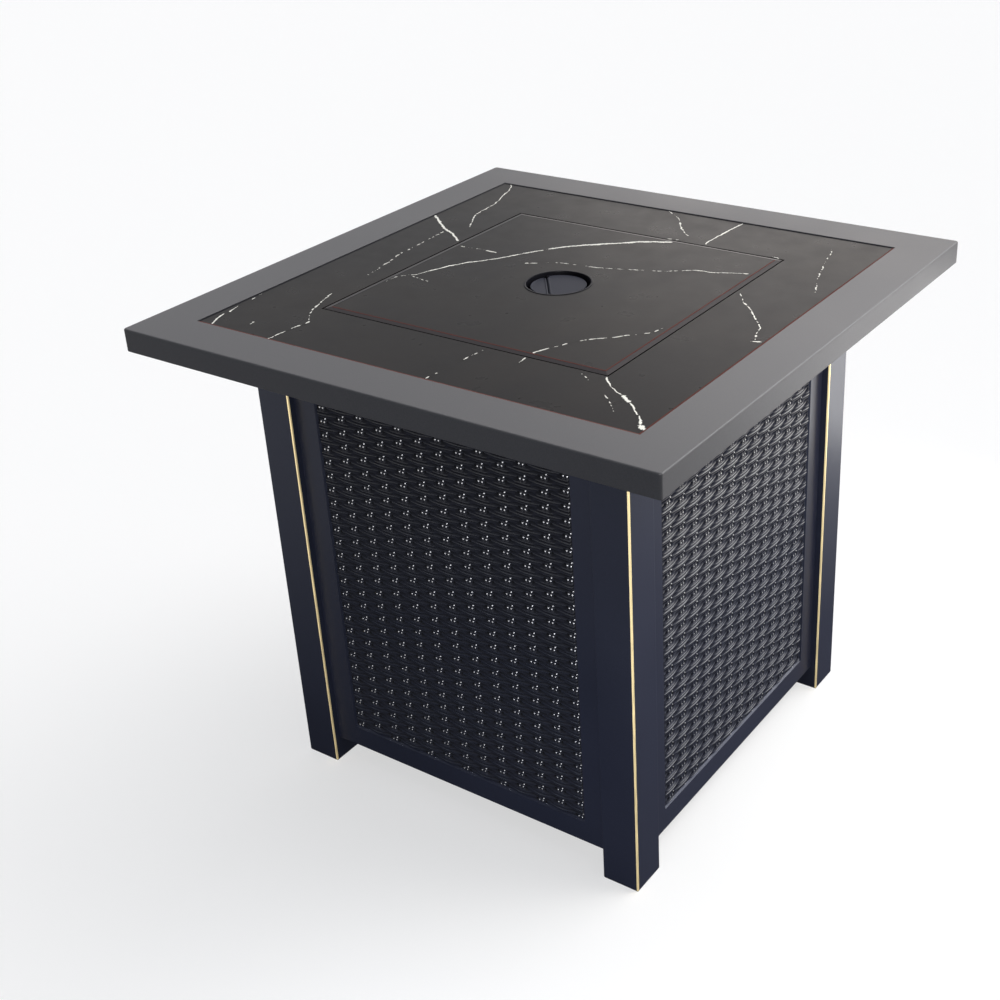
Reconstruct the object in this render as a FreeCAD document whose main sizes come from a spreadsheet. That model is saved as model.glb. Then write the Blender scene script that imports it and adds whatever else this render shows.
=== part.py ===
import FreeCAD, Part

import itertools
import math
import os
import re

import Sketcher

# Gas fire-pit table: a square tiled top with a lift-off lid over the burner, four posts,
# pressed side panels and a rear door. Millimetres, +Z up, origin on the floor at the centre.
# The front is -Y, the right side +X, and the controls and the door are at the rear, +Y.

Vector = FreeCAD.Vector
Rotation = FreeCAD.Rotation

SIZES = {
    # tabletop
    "total_height": 620,
    "top_width": 710,
    "top_border": 58.5,
    "skirt_height": 28,
    "frame_sheet": 2,
    "frame_corner_radius": 3.5,
    "frame_edge_radius": 1.2,
    "skirt_return": 15,
    "tile_recess": 1,
    "tile_thickness": 5,
    "tile_gap": 0.8,
    "plate_thickness": 2,
    # lid and the seat it drops into
    "lid_width": 390,
    "lid_gap": 2,
    "lid_height": 16,
    "lid_lip": 6.5,
    "lid_bevel_rise": 1.2,
    "lid_sheet": 1.5,
    "lid_hem": 17,
    "lid_tile_gap": 0.3,
    "pad_width": 14,
    "seat_setback": 2,
    "seat_depth": 20,
    "seat_sheet": 2,
    "seat_opening": 310,
    # lid handle
    "cup_radius": 40,
    "cup_wall": 1.5,
    "cup_depth": 25,
    "cup_clearance": 0.3,
    "bezel_overlap": 1.2,
    "bezel_height": 0.6,
    "grip_radius": 33.5,
    "grip_sink": 2.5,
    "grip_thickness": 2,
    "grip_split": 12,
    "grip_dish": 1,
    "grip_rim": 2,
    "grip_seam": 0.8,
    "grip_turn": -52,
    "grip_pin_offset": 10,
    "grip_pin_radius": 2,
    "grip_pin_drop": 4.5,
    "grip_barrel_radius": 3.8,
    "grip_lug_start": 31.6,
    "grip_lug_width": 4.4,
    "grip_lug_height": 7.4,
    "grip_lug_gap": 2,
    # burner pan and heat shield
    "pan_width": 300,
    "pan_sheet": 1.2,
    "pan_depth": 80,
    "pan_flange_gap": 3,
    "shield_gap": 9,
    "shield_drop": 10,
    "pan_screw_radius": 2,
    "pan_screw_length": 10,
    "pan_screw_head_radius": 4,
    "pan_screw_head_height": 2.2,
    "pan_screw_place": 175,
    "hole_clearance": 0.3,
    "fit_clearance": 0.05,
    # burner, its air mixer and the electrode bracket
    "ring_radius": 95,
    "ring_tube_radius": 9,
    "ring_height": 16,
    "cross_tube_radius": 7,
    "hub_radius": 16,
    "hub_height": 22,
    "port_radius": 1,
    "port_count": 24,
    "nipple_radius": 6,
    "nut_height": 6,
    "nut_radius": 11,
    "mixer_radius": 14,
    "mixer_length": 58,
    "mixer_bore": 9,
    "mixer_slot_radius": 4,
    "mixer_floor": 6,
    "bracket_place": 112,
    "bracket_length": 44,
    "bracket_depth": 20,
    "bracket_height": 15.5,
    "bracket_sheet": 1.5,
    "probe_spacing": 20,
    "insulator_radius": 3.5,
    "insulator_length": 15,
    "electrode_radius": 1.4,
    "electrode_length": 24,
    "thermocouple_radius": 3,
    "thermocouple_length": 22,
    # rock grate and lava rocks
    "grate_gap": 3,
    "grate_bar": 6,
    "grate_height": 6,
    "grate_leg": 26,
    "grate_leg_width": 8,
    "grate_bars": 11,
    "rock_pitch": 45,
    "rock_radius": 17,
    "rock_lift": 0.3,
    # posts, trim and glides
    "base_width": 514,
    "post_width": 48,
    "post_wall": 2,
    "trim_width": 2,
    "trim_backing": 5,
    "glide_thickness": 1.5,
    "glide_plug": 12,
    "glide_inset": 0.8,
    "plug_clearance": 0.2,
    # side panels
    "panel_recess": 10,
    "panel_bottom": 33,
    "panel_top_gap": 6,
    "panel_sheet": 1.5,
    "panel_fold": 15,
    "field_width": 356,
    "field_border": 29,
    "field_depth": 3,
    "field_bevel": 1.5,
    # rails, shelf and cylinder collar
    "rail_width": 20,
    "rail_wall": 1.5,
    "rail_lift": 3,
    "shelf_sheet": 2,
    "shelf_lap": 8,
    "shelf_gap": 1,
    "collar_radius": 133,
    "collar_wall": 2,
    "collar_height": 26,
    # control panel, valve and igniter
    "control_height": 136,
    "control_edge": 68,
    "valve_width": 48,
    "valve_side": 12,
    "valve_depth": 26,
    "valve_height": 28,
    "valve_collar_radius": 9,
    "valve_back": 33,
    "inlet_place": 24,
    "inlet_radius": 7.9,
    "inlet_length": 18,
    "inlet_bore": 4,
    "stem_radius": 4,
    "stem_clearance": 0.05,
    "stem_inside": 18,
    "stem_outside": 19,
    "stem_travel_room": 6,
    "stem_hole_clearance": 2,
    "stem_end_gap": 0.3,
    "knob_radius": 20,
    "knob_length": 24,
    "knob_gap": 5,
    "knob_bar_width": 9,
    "knob_bar_height": 6,
    "knob_chamfer": 1,
    "igniter_place": 90,
    "igniter_radius": 11,
    "igniter_length": 42,
    "igniter_flange_radius": 14,
    "igniter_flange": 2.5,
    "igniter_bore_depth": 24,
    "button_radius": 8.5,
    "button_length": 22,
    "button_out": 9,
    "button_chamfer": 0.8,
    # feed tube
    "tube_radius": 5,
    "tube_bend": 30,
    "tube_drop": 40,
    # rear door
    "door_gap": 3,
    "door_lift": 0.3,
    "door_fold": 10,
    "door_hem": 15,
    "hinge_radius": 2.5,
    "hinge_clearance": 0.05,
    "hinge_inset": 7,
    "hinge_setback": 5.1,
    "hinge_length": 10,
    "hinge_plate": 3,
    "hinge_plate_width": 22,
    "hinge_plate_reach": 2,
    "hinge_plate_lap": 11,
    "pull_inset": 13,
    "pull_length": 90,
    "pull_radius": 4,
    "pull_standoff": 18,
    "pull_bend": 10,
    "catch_centre": 260,
    "catch_length": 40,
    "catch_width": 19,
    "catch_depth": 20,
    "catch_gap": 0.3,
    "strike_sheet": 1.3,
    "strike_width": 12,
}

DOC = FreeCAD.newDocument("fire_table")
SHEET = DOC.addObject("Spreadsheet::Sheet", "sizes")
NODES = []

for row, (alias, value) in enumerate(SIZES.items(), start=1):
    SHEET.set(f"A{row}", alias.replace("_", " "))
    SHEET.set(f"B{row}", str(value))
    SHEET.setAlias(f"B{row}", alias)
DOC.recompute()


# ---------------------------------------------------------------- helpers

def bound(text):
    """Turn a formula written with the sheet's words into a document expression."""
    return re.sub(r"\b[a-z][a-z_]*\b(?!\()", r"sizes.\g<0>", str(text))


def size(alias):
    """Read one driving size from the sheet."""
    return float(SHEET.get(alias))


def minus(text):
    return f"-({text})"


def both_ways(half):
    """Span from minus half to plus half."""
    return (minus(half), half)


def span(sign, near, far):
    """Span on one side of the centre, from near to far away from it."""
    if sign > 0:
        return (near, far)
    return (minus(far), minus(near))


def place(solid, position):
    """Bind a solid's position to three formulas."""
    for axis, text in zip("xyz", position):
        solid.setExpression(f"Placement.Base.{axis}", bound(text))


def block(name, x_span, y_span, z_span):
    """Rectangular block between two places along each axis."""
    solid = DOC.addObject("Part::Box", name)
    spans = (x_span, y_span, z_span)
    for side, (low, high) in zip(("Length", "Width", "Height"), spans):
        solid.setExpression(side, bound(f"({high}) - ({low})"))
    place(solid, [low for low, _ in spans])
    return solid


def square_block(name, half, z_span):
    """Block that is square in plan and centred on the axis."""
    return block(name, both_ways(half), both_ways(half), z_span)


def rod(name, radius, length, start, direction=(0, 0, 1)):
    """Cylinder from a start point along a direction."""
    solid = DOC.addObject("Part::Cylinder", name)
    solid.Placement.Rotation = Rotation(Vector(0, 0, 1), Vector(*direction))
    solid.setExpression("Radius", bound(radius))
    solid.setExpression("Height", bound(length))
    place(solid, start)
    return solid


def bend(name, radii, centre, from_direction, to_direction):
    """Quarter bend of a round tube about a centre, between two directions seen from it."""
    solid = DOC.addObject("Part::Torus", name)
    first, second = Vector(*from_direction), Vector(*to_direction)
    solid.Placement.Rotation = Rotation(first, second, first.cross(second), "XYZ")
    solid.Angle3 = 90
    for side, text in zip(("Radius1", "Radius2"), radii):
        solid.setExpression(side, bound(text))
    place(solid, centre)
    return solid


def join(name, parts):
    """Fuse pieces that meet into one solid."""
    result = DOC.addObject("Part::MultiFuse", name)
    result.Shapes = parts
    result.Refine = True
    return result


def group(name, parts):
    """Keep separate solids together in one object."""
    result = DOC.addObject("Part::Compound", name)
    result.Links = parts
    return result


def cut(name, base, tools):
    """Take tools away from a base."""
    tool = tools[0] if len(tools) == 1 else join(f"{name}_tools", tools)
    result = DOC.addObject("Part::Cut", name)
    result.Base = base
    result.Tool = tool
    result.Refine = True
    return result


def node(label, solid):
    """Name a finished sub-part and keep it for export."""
    solid.Label = label
    NODES.append(solid)
    return solid


def fillet(name, base, radius, wanted):
    """Round the edges that a test picks, by one radius."""
    DOC.recompute()
    edges = base.Shape.Edges
    result = DOC.addObject("Part::Fillet", name)
    result.Base = base
    result.Edges = [(i, radius, radius) for i, edge in enumerate(edges, start=1) if wanted(edge)]
    return result


def own_plane(body, role):
    """One of a body's own origin planes."""
    return [item for item in body.Origin.OriginFeatures if item.Role == role][0]


def padded_disc(name, radius, length):
    """Part-design body with one round pad, axis +Z, and its pad."""
    body = DOC.addObject("PartDesign::Body", name)
    sketch = body.newObject("Sketcher::SketchObject", f"{name}_outline")
    sketch.AttachmentSupport = [(own_plane(body, "XY_Plane"), "")]
    sketch.MapMode = "FlatFace"
    sketch.addGeometry(Part.Circle(Vector(0, 0, 0), Vector(0, 0, 1), size(radius)), False)
    sketch.addConstraint(Sketcher.Constraint("Coincident", 0, 3, -1, 1))
    radius_row = sketch.addConstraint(Sketcher.Constraint("Radius", 0, size(radius)))
    sketch.setExpression(f"Constraints[{radius_row}]", bound(radius))
    pad = body.newObject("PartDesign::Pad", f"{name}_pad")
    pad.Profile = sketch
    pad.setExpression("Length", bound(length))
    DOC.recompute()
    return body, pad


def face_edges(feature, height):
    """Names of a feature's edges that lie at one height."""
    names = []
    for i, edge in enumerate(feature.Shape.Edges, start=1):
        box = edge.BoundBox
        if abs(box.ZMin - height) < 0.01 and abs(box.ZMax - height) < 0.01:
            names.append(f"Edge{i}")
    return names


def chamfered_disc(name, radius, length, chamfer):
    """Round pad with its far rim chamfered."""
    body, pad = padded_disc(name, radius, length)
    rim = body.newObject("PartDesign::Chamfer", f"{name}_rim")
    rim.Base = (pad, face_edges(pad, size(length)))
    rim.setExpression("Size", bound(chamfer))
    DOC.recompute()
    return body


# ---------------------------------------------------------------- places shared by several pieces

TILE_TOP = "(total_height - tile_recess)"
TILE_UNDER = "(total_height - tile_recess - tile_thickness)"
PLATE_UNDER = f"({TILE_UNDER} - plate_thickness)"
FRAME_UNDER = "(total_height - frame_sheet)"
TOP_HALF = "(top_width / 2)"
OPENING_HALF = "(top_width / 2 - top_border)"
LID_HALF = "(lid_width / 2)"
LID_HOLE_HALF = "(lid_width / 2 + lid_gap)"
SEAT_HALF = "(lid_width / 2 + lid_gap + seat_setback)"
SEAT_TOP = "(total_height - seat_depth)"
SEAT_UNDER = f"({SEAT_TOP} - seat_sheet)"
PAN_HALF = "(pan_width / 2)"
PAN_FLOOR = f"({SEAT_TOP} - pan_depth)"
PAN_UNDER = f"({PAN_FLOOR} - pan_sheet)"
PAN_FLANGE_TOP = f"({SEAT_TOP} + pan_sheet)"
SHIELD_HALF = "(pan_width / 2 + pan_sheet + shield_gap)"
SHIELD_FLOOR = f"({PAN_UNDER} - shield_drop)"
SHIELD_UNDER = f"({SHIELD_FLOOR} - pan_sheet)"
MIXER_TOP = f"({PAN_UNDER} - nut_height)"
MIXER_UNDER = f"({MIXER_TOP} - mixer_length)"
POST_OUTER = "(base_width / 2)"
POST_INNER = "(base_width / 2 - post_width)"
PANEL_FACE = f"({POST_OUTER} - panel_recess)"
PANEL_TOP = f"({PLATE_UNDER} - panel_top_gap)"
RAIL_OUTER = f"({PANEL_FACE} - panel_fold)"
RAIL_INNER = f"({RAIL_OUTER} - rail_width)"
RAIL_UNDER = "(panel_bottom + rail_lift)"
SHELF_UNDER = f"({RAIL_UNDER} - shelf_sheet)"
CONTROL_UNDER = f"({PANEL_TOP} - control_height)"
CONTROL_CENTRE = f"({PANEL_TOP} - control_edge)"
PANEL_BACK = f"({PANEL_FACE} - panel_sheet)"
VALVE_FRONT = f"({PANEL_FACE} - valve_back)"
VALVE_UNDER = f"({CONTROL_CENTRE} - valve_height / 2)"
LID_UNDER = "(total_height - lid_height)"
LID_TILE_UNDER = "(total_height - tile_thickness)"
LID_TILE_HALF = "(lid_width / 2 - lid_lip - lid_tile_gap)"
CUP_FLOOR = "(total_height - cup_depth)"
CUP_HOLE = "(cup_radius + cup_clearance)"
GRIP_TOP = "(total_height - grip_sink)"
GRIP_UNDER = f"({GRIP_TOP} - grip_thickness)"
GRIP_PIN_HEIGHT = f"({GRIP_TOP} - grip_pin_drop)"
CUP_INSIDE = "(cup_radius - cup_wall)"
GRIP_PIN_HALF = f"(sqrt({CUP_INSIDE}^2 - (grip_pin_offset + grip_pin_radius)^2) - cup_clearance)"

CORNERS = {
    "front_left": (-1, -1),
    "front_right": (1, -1),
    "rear_right": (1, 1),
    "rear_left": (-1, 1),
}
# turn of each side about +Z, from the front
SIDES = {"front": 0, "right": 90, "rear": 180, "left": 270}


def square_ring(name, inner_half, outer_half, z_span):
    """Square band in plan."""
    outer = square_block(f"{name}_outer", outer_half, z_span)
    inner = square_block(f"{name}_inner", inner_half, z_span)
    return cut(name, outer, [inner])


# ---------------------------------------------------------------- tabletop

def rounded_top(name, z_span):
    """Square slice of the tabletop with rounded corners."""
    slab = square_block(f"{name}_block", TOP_HALF, z_span)
    return fillet(name, slab, size("frame_corner_radius"), is_upright)


def build_tabletop_frame():
    """Flat border with eased edges, folded down inside to the plate."""
    slab = rounded_top("frame_corners", (PLATE_UNDER, "total_height"))
    eased = fillet("frame_edges", slab, size("frame_edge_radius"), is_at_top)
    outside = square_ring(
        "frame_outside", f"{OPENING_HALF} + frame_sheet", TOP_HALF, (PLATE_UNDER, FRAME_UNDER),
    )
    opening = square_block("frame_opening", OPENING_HALF, (PLATE_UNDER, "total_height"))
    node("tabletop_frame", cut("tabletop_frame_cut", eased, [outside, opening]))


def build_tabletop_skirt():
    """Upright band welded under the border's rim, with a return along its lower edge."""
    low = "(total_height - skirt_height)"
    band = rounded_top("skirt_corners", (low, FRAME_UNDER))
    space = square_block(
        "skirt_space", f"{TOP_HALF} - frame_sheet", (f"{low} + frame_sheet", FRAME_UNDER),
    )
    below = square_block("skirt_below", f"{TOP_HALF} - skirt_return", (low, f"{low} + frame_sheet"))
    node("tabletop_skirt", cut("tabletop_skirt_cut", band, [space, below]))


def is_upright(edge):
    """True for a straight edge that runs along Z."""
    return edge.BoundBox.ZLength > 1 and edge.BoundBox.XLength < 0.01 and edge.BoundBox.YLength < 0.01


def is_at_top(edge):
    """True for an edge that lies in the tabletop's plane."""
    height = size("total_height")
    return abs(edge.BoundBox.ZMin - height) < 0.01 and abs(edge.BoundBox.ZMax - height) < 0.01


def build_tile_ring():
    """Printed tile round the lid, bedded on the support plate."""
    node("tile_ring", square_ring(
        "tile_ring_cut", LID_HOLE_HALF, f"{OPENING_HALF} - tile_gap", (TILE_UNDER, TILE_TOP),
    ))


def build_support_plate():
    """Steel plate welded inside the frame's fold, carrying the tile and the lid seat."""
    node("support_plate", square_ring(
        "support_plate_cut", SEAT_HALF, OPENING_HALF, (PLATE_UNDER, TILE_UNDER),
    ))


def build_lid_seat():
    """Angle frame under the plate: an upright wall and a ledge for the pan and the lid."""
    wall = square_block("seat_wall", f"{SEAT_HALF} + seat_sheet", (SEAT_UNDER, PLATE_UNDER))
    well = square_block("seat_well", SEAT_HALF, (SEAT_TOP, PLATE_UNDER))
    opening = square_block("seat_hole", "seat_opening / 2", (SEAT_UNDER, SEAT_TOP))
    holes = pan_screw_rods("seat_screw_hole", "pan_screw_radius + hole_clearance", SEAT_UNDER, "seat_sheet")
    node("lid_seat", cut("lid_seat_cut", wall, [well, opening] + holes))


# ---------------------------------------------------------------- burner pan

def pan_screw_rods(name, radius, base, length):
    """Four upright rods at the middles of the pan flange's sides."""
    rods = []
    for i, (x, y) in enumerate(((1, 0), (0, 1), (-1, 0), (0, -1))):
        start = (f"{x} * pan_screw_place", f"{y} * pan_screw_place", base)
        rods.append(rod(f"{name}_{i}", radius, length, start))
    return rods


def build_burner_pan():
    """Stainless pan hung by its flange on the seat's ledge."""
    flange = square_block(
        "pan_flange", f"{SEAT_HALF} - pan_flange_gap", (SEAT_TOP, PAN_FLANGE_TOP),
    )
    tub = square_block("pan_tub", f"{PAN_HALF} + pan_sheet", (PAN_UNDER, PAN_FLANGE_TOP))
    inside = square_block("pan_inside", PAN_HALF, (PAN_FLOOR, PAN_FLANGE_TOP))
    nipple_hole = rod(
        "pan_nipple_hole", "nipple_radius + hole_clearance", "pan_sheet", (0, 0, PAN_UNDER),
    )
    holes = pan_screw_rods("pan_screw_hole", "pan_screw_radius + hole_clearance", SEAT_TOP, "pan_sheet")
    body = join("pan_body", [flange, tub])
    node("burner_pan", cut("burner_pan_cut", body, [inside, nipple_hole] + holes))


def build_pan_screws():
    """Four screws through the pan flange and the ledge."""
    shanks = pan_screw_rods(
        "pan_shank", "pan_screw_radius",
        f"{PAN_FLANGE_TOP} - pan_screw_length", "pan_screw_length",
    )
    heads = pan_screw_rods(
        "pan_screw_head", "pan_screw_head_radius", PAN_FLANGE_TOP, "pan_screw_head_height",
    )
    screws = [join(f"pan_screw_{i}", list(pair)) for i, pair in enumerate(zip(shanks, heads))]
    node("pan_screws", group("pan_screws_group", screws))


def build_heat_shield():
    """Outer tray round the pan, hung under the ledge, open round the mixer."""
    tub = square_block("shield_tub", f"{SHIELD_HALF} + pan_sheet", (SHIELD_UNDER, SEAT_UNDER))
    inside = square_block("shield_inside", SHIELD_HALF, (SHIELD_FLOOR, SEAT_UNDER))
    hole = rod("shield_hole", "mixer_radius + shield_gap", "pan_sheet", (0, 0, SHIELD_UNDER))
    node("heat_shield", cut("heat_shield_cut", tub, [inside, hole]))


def build_burner_ring():
    """Tube ring with a cross tube, a hub standing on the pan floor and a threaded nipple."""
    centre = f"{PAN_FLOOR} + ring_height"
    ring = DOC.addObject("Part::Torus", "burner_tube_ring")
    ring.setExpression("Radius1", bound("ring_radius"))
    ring.setExpression("Radius2", bound("ring_tube_radius"))
    place(ring, (0, 0, centre))
    cross = rod(
        "burner_cross", "cross_tube_radius", "2 * ring_radius", ("-ring_radius", 0, centre), (1, 0, 0),
    )
    hub = rod("burner_hub", "hub_radius", "hub_height", (0, 0, PAN_FLOOR))
    nipple = rod("burner_nipple", "nipple_radius", f"{PAN_FLOOR} - {MIXER_TOP}", (0, 0, MIXER_TOP))
    ports = []
    for i in range(int(size("port_count"))):
        angle = f"{i} * 360 / port_count"
        start = (f"ring_radius * cos({angle})", f"ring_radius * sin({angle})", centre)
        ports.append(rod(f"burner_port_{i}", "port_radius", "2 * ring_tube_radius", start))
    body = join("burner_body", [ring, cross, hub, nipple])
    node("burner_ring", cut("burner_ring_cut", body, ports))


def build_burner_nut():
    """Hexagonal lock nut that clamps the burner through the pan floor."""
    prism = DOC.addObject("Part::Prism", "nut_prism")
    prism.Polygon = 6
    prism.setExpression("Circumradius", bound("nut_radius"))
    prism.setExpression("Height", bound("nut_height"))
    place(prism, (0, 0, MIXER_TOP))
    bore = rod("nut_bore", "nipple_radius + fit_clearance", "nut_height", (0, 0, MIXER_TOP))
    node("burner_nut", cut("burner_nut_cut", prism, [bore]))


def build_air_mixer():
    """Mixing tube under the nut, with two cross holes for air and a closed orifice end."""
    tube = rod("mixer_tube", "mixer_radius", "mixer_length", (0, 0, MIXER_UNDER))
    bore = rod(
        "mixer_hollow", "mixer_bore", "mixer_length - mixer_floor",
        (0, 0, f"{MIXER_UNDER} + mixer_floor"),
    )
    slot_height = f"{MIXER_UNDER} + mixer_floor + 2 * mixer_slot_radius"
    slots = [
        rod("mixer_slot_x", "mixer_slot_radius", "2 * mixer_radius",
            ("-mixer_radius", 0, slot_height), (1, 0, 0)),
        rod("mixer_slot_y", "mixer_slot_radius", "2 * mixer_radius",
            (0, "-mixer_radius", slot_height), (0, 1, 0)),
    ]
    node("air_mixer", cut("air_mixer_cut", tube, [bore] + slots))


def build_probe_bracket():
    """Folded bracket on the pan floor whose shelf holds the electrode and the thermocouple."""
    x_span = ("bracket_place", "bracket_place + bracket_depth")
    y_span = both_ways("bracket_length / 2")
    body = block("bracket_body", x_span, y_span, (PAN_FLOOR, f"{PAN_FLOOR} + bracket_height"))
    inside = block(
        "bracket_inside",
        ("bracket_place", "bracket_place + bracket_depth - bracket_sheet"),
        y_span,
        (f"{PAN_FLOOR} + bracket_sheet", f"{PAN_FLOOR} + bracket_height - bracket_sheet"),
    )
    holes = []
    shelf_under = f"{PAN_FLOOR} + bracket_height - bracket_sheet"
    probes = (("electrode", "insulator_radius", -1), ("thermocouple", "thermocouple_radius", 1))
    for name, radius, sign in probes:
        start = probe_start(sign, shelf_under)
        holes.append(rod(f"bracket_{name}_hole", f"{radius} + fit_clearance", "bracket_sheet", start))
    node("electrode_bracket", cut("electrode_bracket_cut", body, [inside] + holes))


def probe_start(sign, height):
    """Point on the axis of a probe, at one side of the bracket's middle."""
    return ("bracket_place + bracket_depth / 2", f"{sign} * probe_spacing / 2", height)


def build_probes():
    """Ignition electrode with its insulator, and the thermocouple."""
    foot = f"{PAN_FLOOR} + bracket_sheet"
    insulator = rod("insulator", "insulator_radius", "insulator_length", probe_start(-1, foot))
    tip = rod("electrode_tip", "electrode_radius", "electrode_length", probe_start(-1, foot))
    node("ignition_electrode", join("electrode_join", [insulator, tip]))
    node("thermocouple", rod(
        "thermocouple_rod", "thermocouple_radius", "thermocouple_length", probe_start(1, foot),
    ))


def build_rock_grate():
    """Square frame of bars on four legs standing on the pan floor."""
    outer = f"({PAN_HALF} - grate_gap)"
    low = f"{PAN_FLOOR} + grate_leg"
    z_span = (low, f"{low} + grate_height")
    parts = [square_ring("grate_rim", f"{outer} - grate_bar", outer, z_span)]
    steps = int(size("grate_bars"))
    for i in range(steps):
        middle = f"({i + 1} / (grate_bars + 1) * 2 - 1) * ({outer} - grate_bar / 2)"
        y_span = (f"{middle} - grate_bar / 2", f"{middle} + grate_bar / 2")
        parts.append(block(f"grate_bar_{i}", both_ways(f"{outer} - grate_bar"), y_span, z_span))
    for corner, (x, y) in CORNERS.items():
        parts.append(block(
            f"grate_leg_{corner}",
            span(x, f"{outer} - grate_leg_width", outer),
            span(y, f"{outer} - grate_leg_width", outer),
            (PAN_FLOOR, low),
        ))
    node("rock_grate", join("rock_grate_join", parts))


GOLDEN = (1 + math.sqrt(5)) / 2
ROCK_CORNERS = [
    Vector(*corner)
    for first in (-1, 1)
    for second in (-GOLDEN, GOLDEN)
    for corner in ((0, first, second), (first, second, 0), (second, 0, first))
]
NEIGHBOUR_DISTANCE = 2.001


def rock_faces():
    """Corner numbers of the twenty triangles between neighbouring corners."""
    faces = []
    for trio in itertools.combinations(range(len(ROCK_CORNERS)), 3):
        pairs = itertools.combinations([ROCK_CORNERS[k] for k in trio], 2)
        if all((first - second).Length < NEIGHBOUR_DISTANCE for first, second in pairs):
            faces.append(trio)
    return faces


def rock(index, foot, radius):
    """Rough rock lying on one face, its other corners pushed in and out."""
    faces = rock_faces()
    under = faces[0]
    down = ROCK_CORNERS[under[0]] + ROCK_CORNERS[under[1]] + ROCK_CORNERS[under[2]]
    turn = Rotation(Vector(0, 0, 1), 73.0 * index).multiply(Rotation(down, Vector(0, 0, -1)))
    points = []
    for k, corner in enumerate(ROCK_CORNERS):
        rough = 0.9 + 0.1 * math.sin(7.3 * index + 2.9 * k)
        points.append(turn.multVec(corner).normalize() * radius * rough)
    lowest = min(points[k].z for k in under)
    for k in under:
        points[k].z = lowest
    points = [point + foot - Vector(0, 0, lowest) for point in points]
    triangles = []
    for trio in faces:
        outline = [points[k] for k in trio]
        triangles.append(Part.Face(Part.makePolygon(outline + outline[:1])))
    solid = Part.makeSolid(Part.makeShell(triangles))
    if solid.Volume < 0:
        solid.reverse()
    return solid


def build_lava_rocks():
    """One layer of rocks, each row lying along every second bar of the grate."""
    grate_half = size("pan_width") / 2 - size("grate_gap")
    bars = int(size("grate_bars"))
    bar_pitch = (2 * grate_half - size("grate_bar")) / (bars + 1)
    columns = int((2 * grate_half - 2 * size("rock_radius")) / size("rock_pitch")) + 1
    bed = size("total_height") - size("seat_depth") - size("pan_depth") + size("grate_leg")
    bed += size("grate_height") + size("rock_lift")
    rocks = []
    for bar in range(1, bars, 2):
        y = (bar - (bars - 1) / 2) * bar_pitch
        for column in range(columns):
            index = bar * columns + column
            x = (column - (columns - 1) / 2 + 0.09 * math.sin(3.1 * index)) * size("rock_pitch")
            radius = size("rock_radius") * (0.94 + 0.06 * math.sin(index))
            rocks.append(rock(index, Vector(x, y, bed), radius))
    heap = DOC.addObject("Part::Feature", "lava_rocks_heap")
    heap.Shape = Part.makeCompound(rocks)
    node("lava_rocks", heap)


# ---------------------------------------------------------------- lid

def build_lid_tray():
    """Folded lid: bevelled lip round the tile, outer skirt, hem under it and a hole for the cup."""
    shoulder = "total_height - lid_bevel_rise"
    lower = square_block("lid_lower", LID_HALF, (LID_UNDER, shoulder))
    bevel = DOC.addObject("Part::Wedge", "lid_bevel")
    bevel.Placement.Rotation = Rotation(Vector(1, 0, 0), 90)
    inner = f"{LID_HALF} - lid_lip"
    for alias, text in (
        ("Xmin", minus(LID_HALF)), ("Xmax", LID_HALF), ("Zmin", minus(LID_HALF)), ("Zmax", LID_HALF),
        ("X2min", minus(inner)), ("X2max", inner), ("Z2min", minus(inner)), ("Z2max", inner),
        ("Ymin", "0"), ("Ymax", "lid_bevel_rise"),
    ):
        bevel.setExpression(alias, bound(text))
    place(bevel, (0, 0, shoulder))
    pocket = square_block("lid_pocket", inner, (LID_TILE_UNDER, "total_height"))
    hollow = square_block(
        "lid_hollow", f"{LID_HALF} - lid_sheet",
        (f"{LID_UNDER} + lid_sheet", f"{LID_TILE_UNDER} - lid_sheet"),
    )
    mouth = square_block(
        "lid_mouth", f"{LID_HALF} - lid_sheet - lid_hem", (LID_UNDER, f"{LID_UNDER} + lid_sheet"),
    )
    hole = rod("lid_cup_hole", CUP_HOLE, "lid_height", (0, 0, LID_UNDER))
    body = join("lid_body", [lower, bevel])
    node("lid_tray", cut("lid_tray_cut", body, [pocket, hollow, mouth, hole]))


def build_lid_tile():
    """Printed tile set flush in the lid."""
    slab = square_block("lid_slab", LID_TILE_HALF, (LID_TILE_UNDER, "total_height"))
    hole = rod("lid_tile_hole", CUP_HOLE, "tile_thickness", (0, 0, LID_TILE_UNDER))
    node("lid_tile", cut("lid_tile_cut", slab, [hole]))


def build_lid_pads():
    """Rubber pads in the lid's corners that rest on the pan flange."""
    middle = f"({LID_HALF} - lid_sheet - lid_hem / 2)"
    near, far = f"{middle} - pad_width / 2", f"{middle} + pad_width / 2"
    pads = [
        block(f"pad_{corner}", span(x, near, far), span(y, near, far), (PAN_FLANGE_TOP, LID_UNDER))
        for corner, (x, y) in CORNERS.items()
    ]
    node("lid_pads", group("lid_pads_group", pads))


def turn_grip(solid):
    """Turn a handle piece from its own direction, pin along X, to the way the handle lies."""
    solid.setExpression("Placement.Rotation.Yaw", bound("grip_turn"))
    return solid


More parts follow.
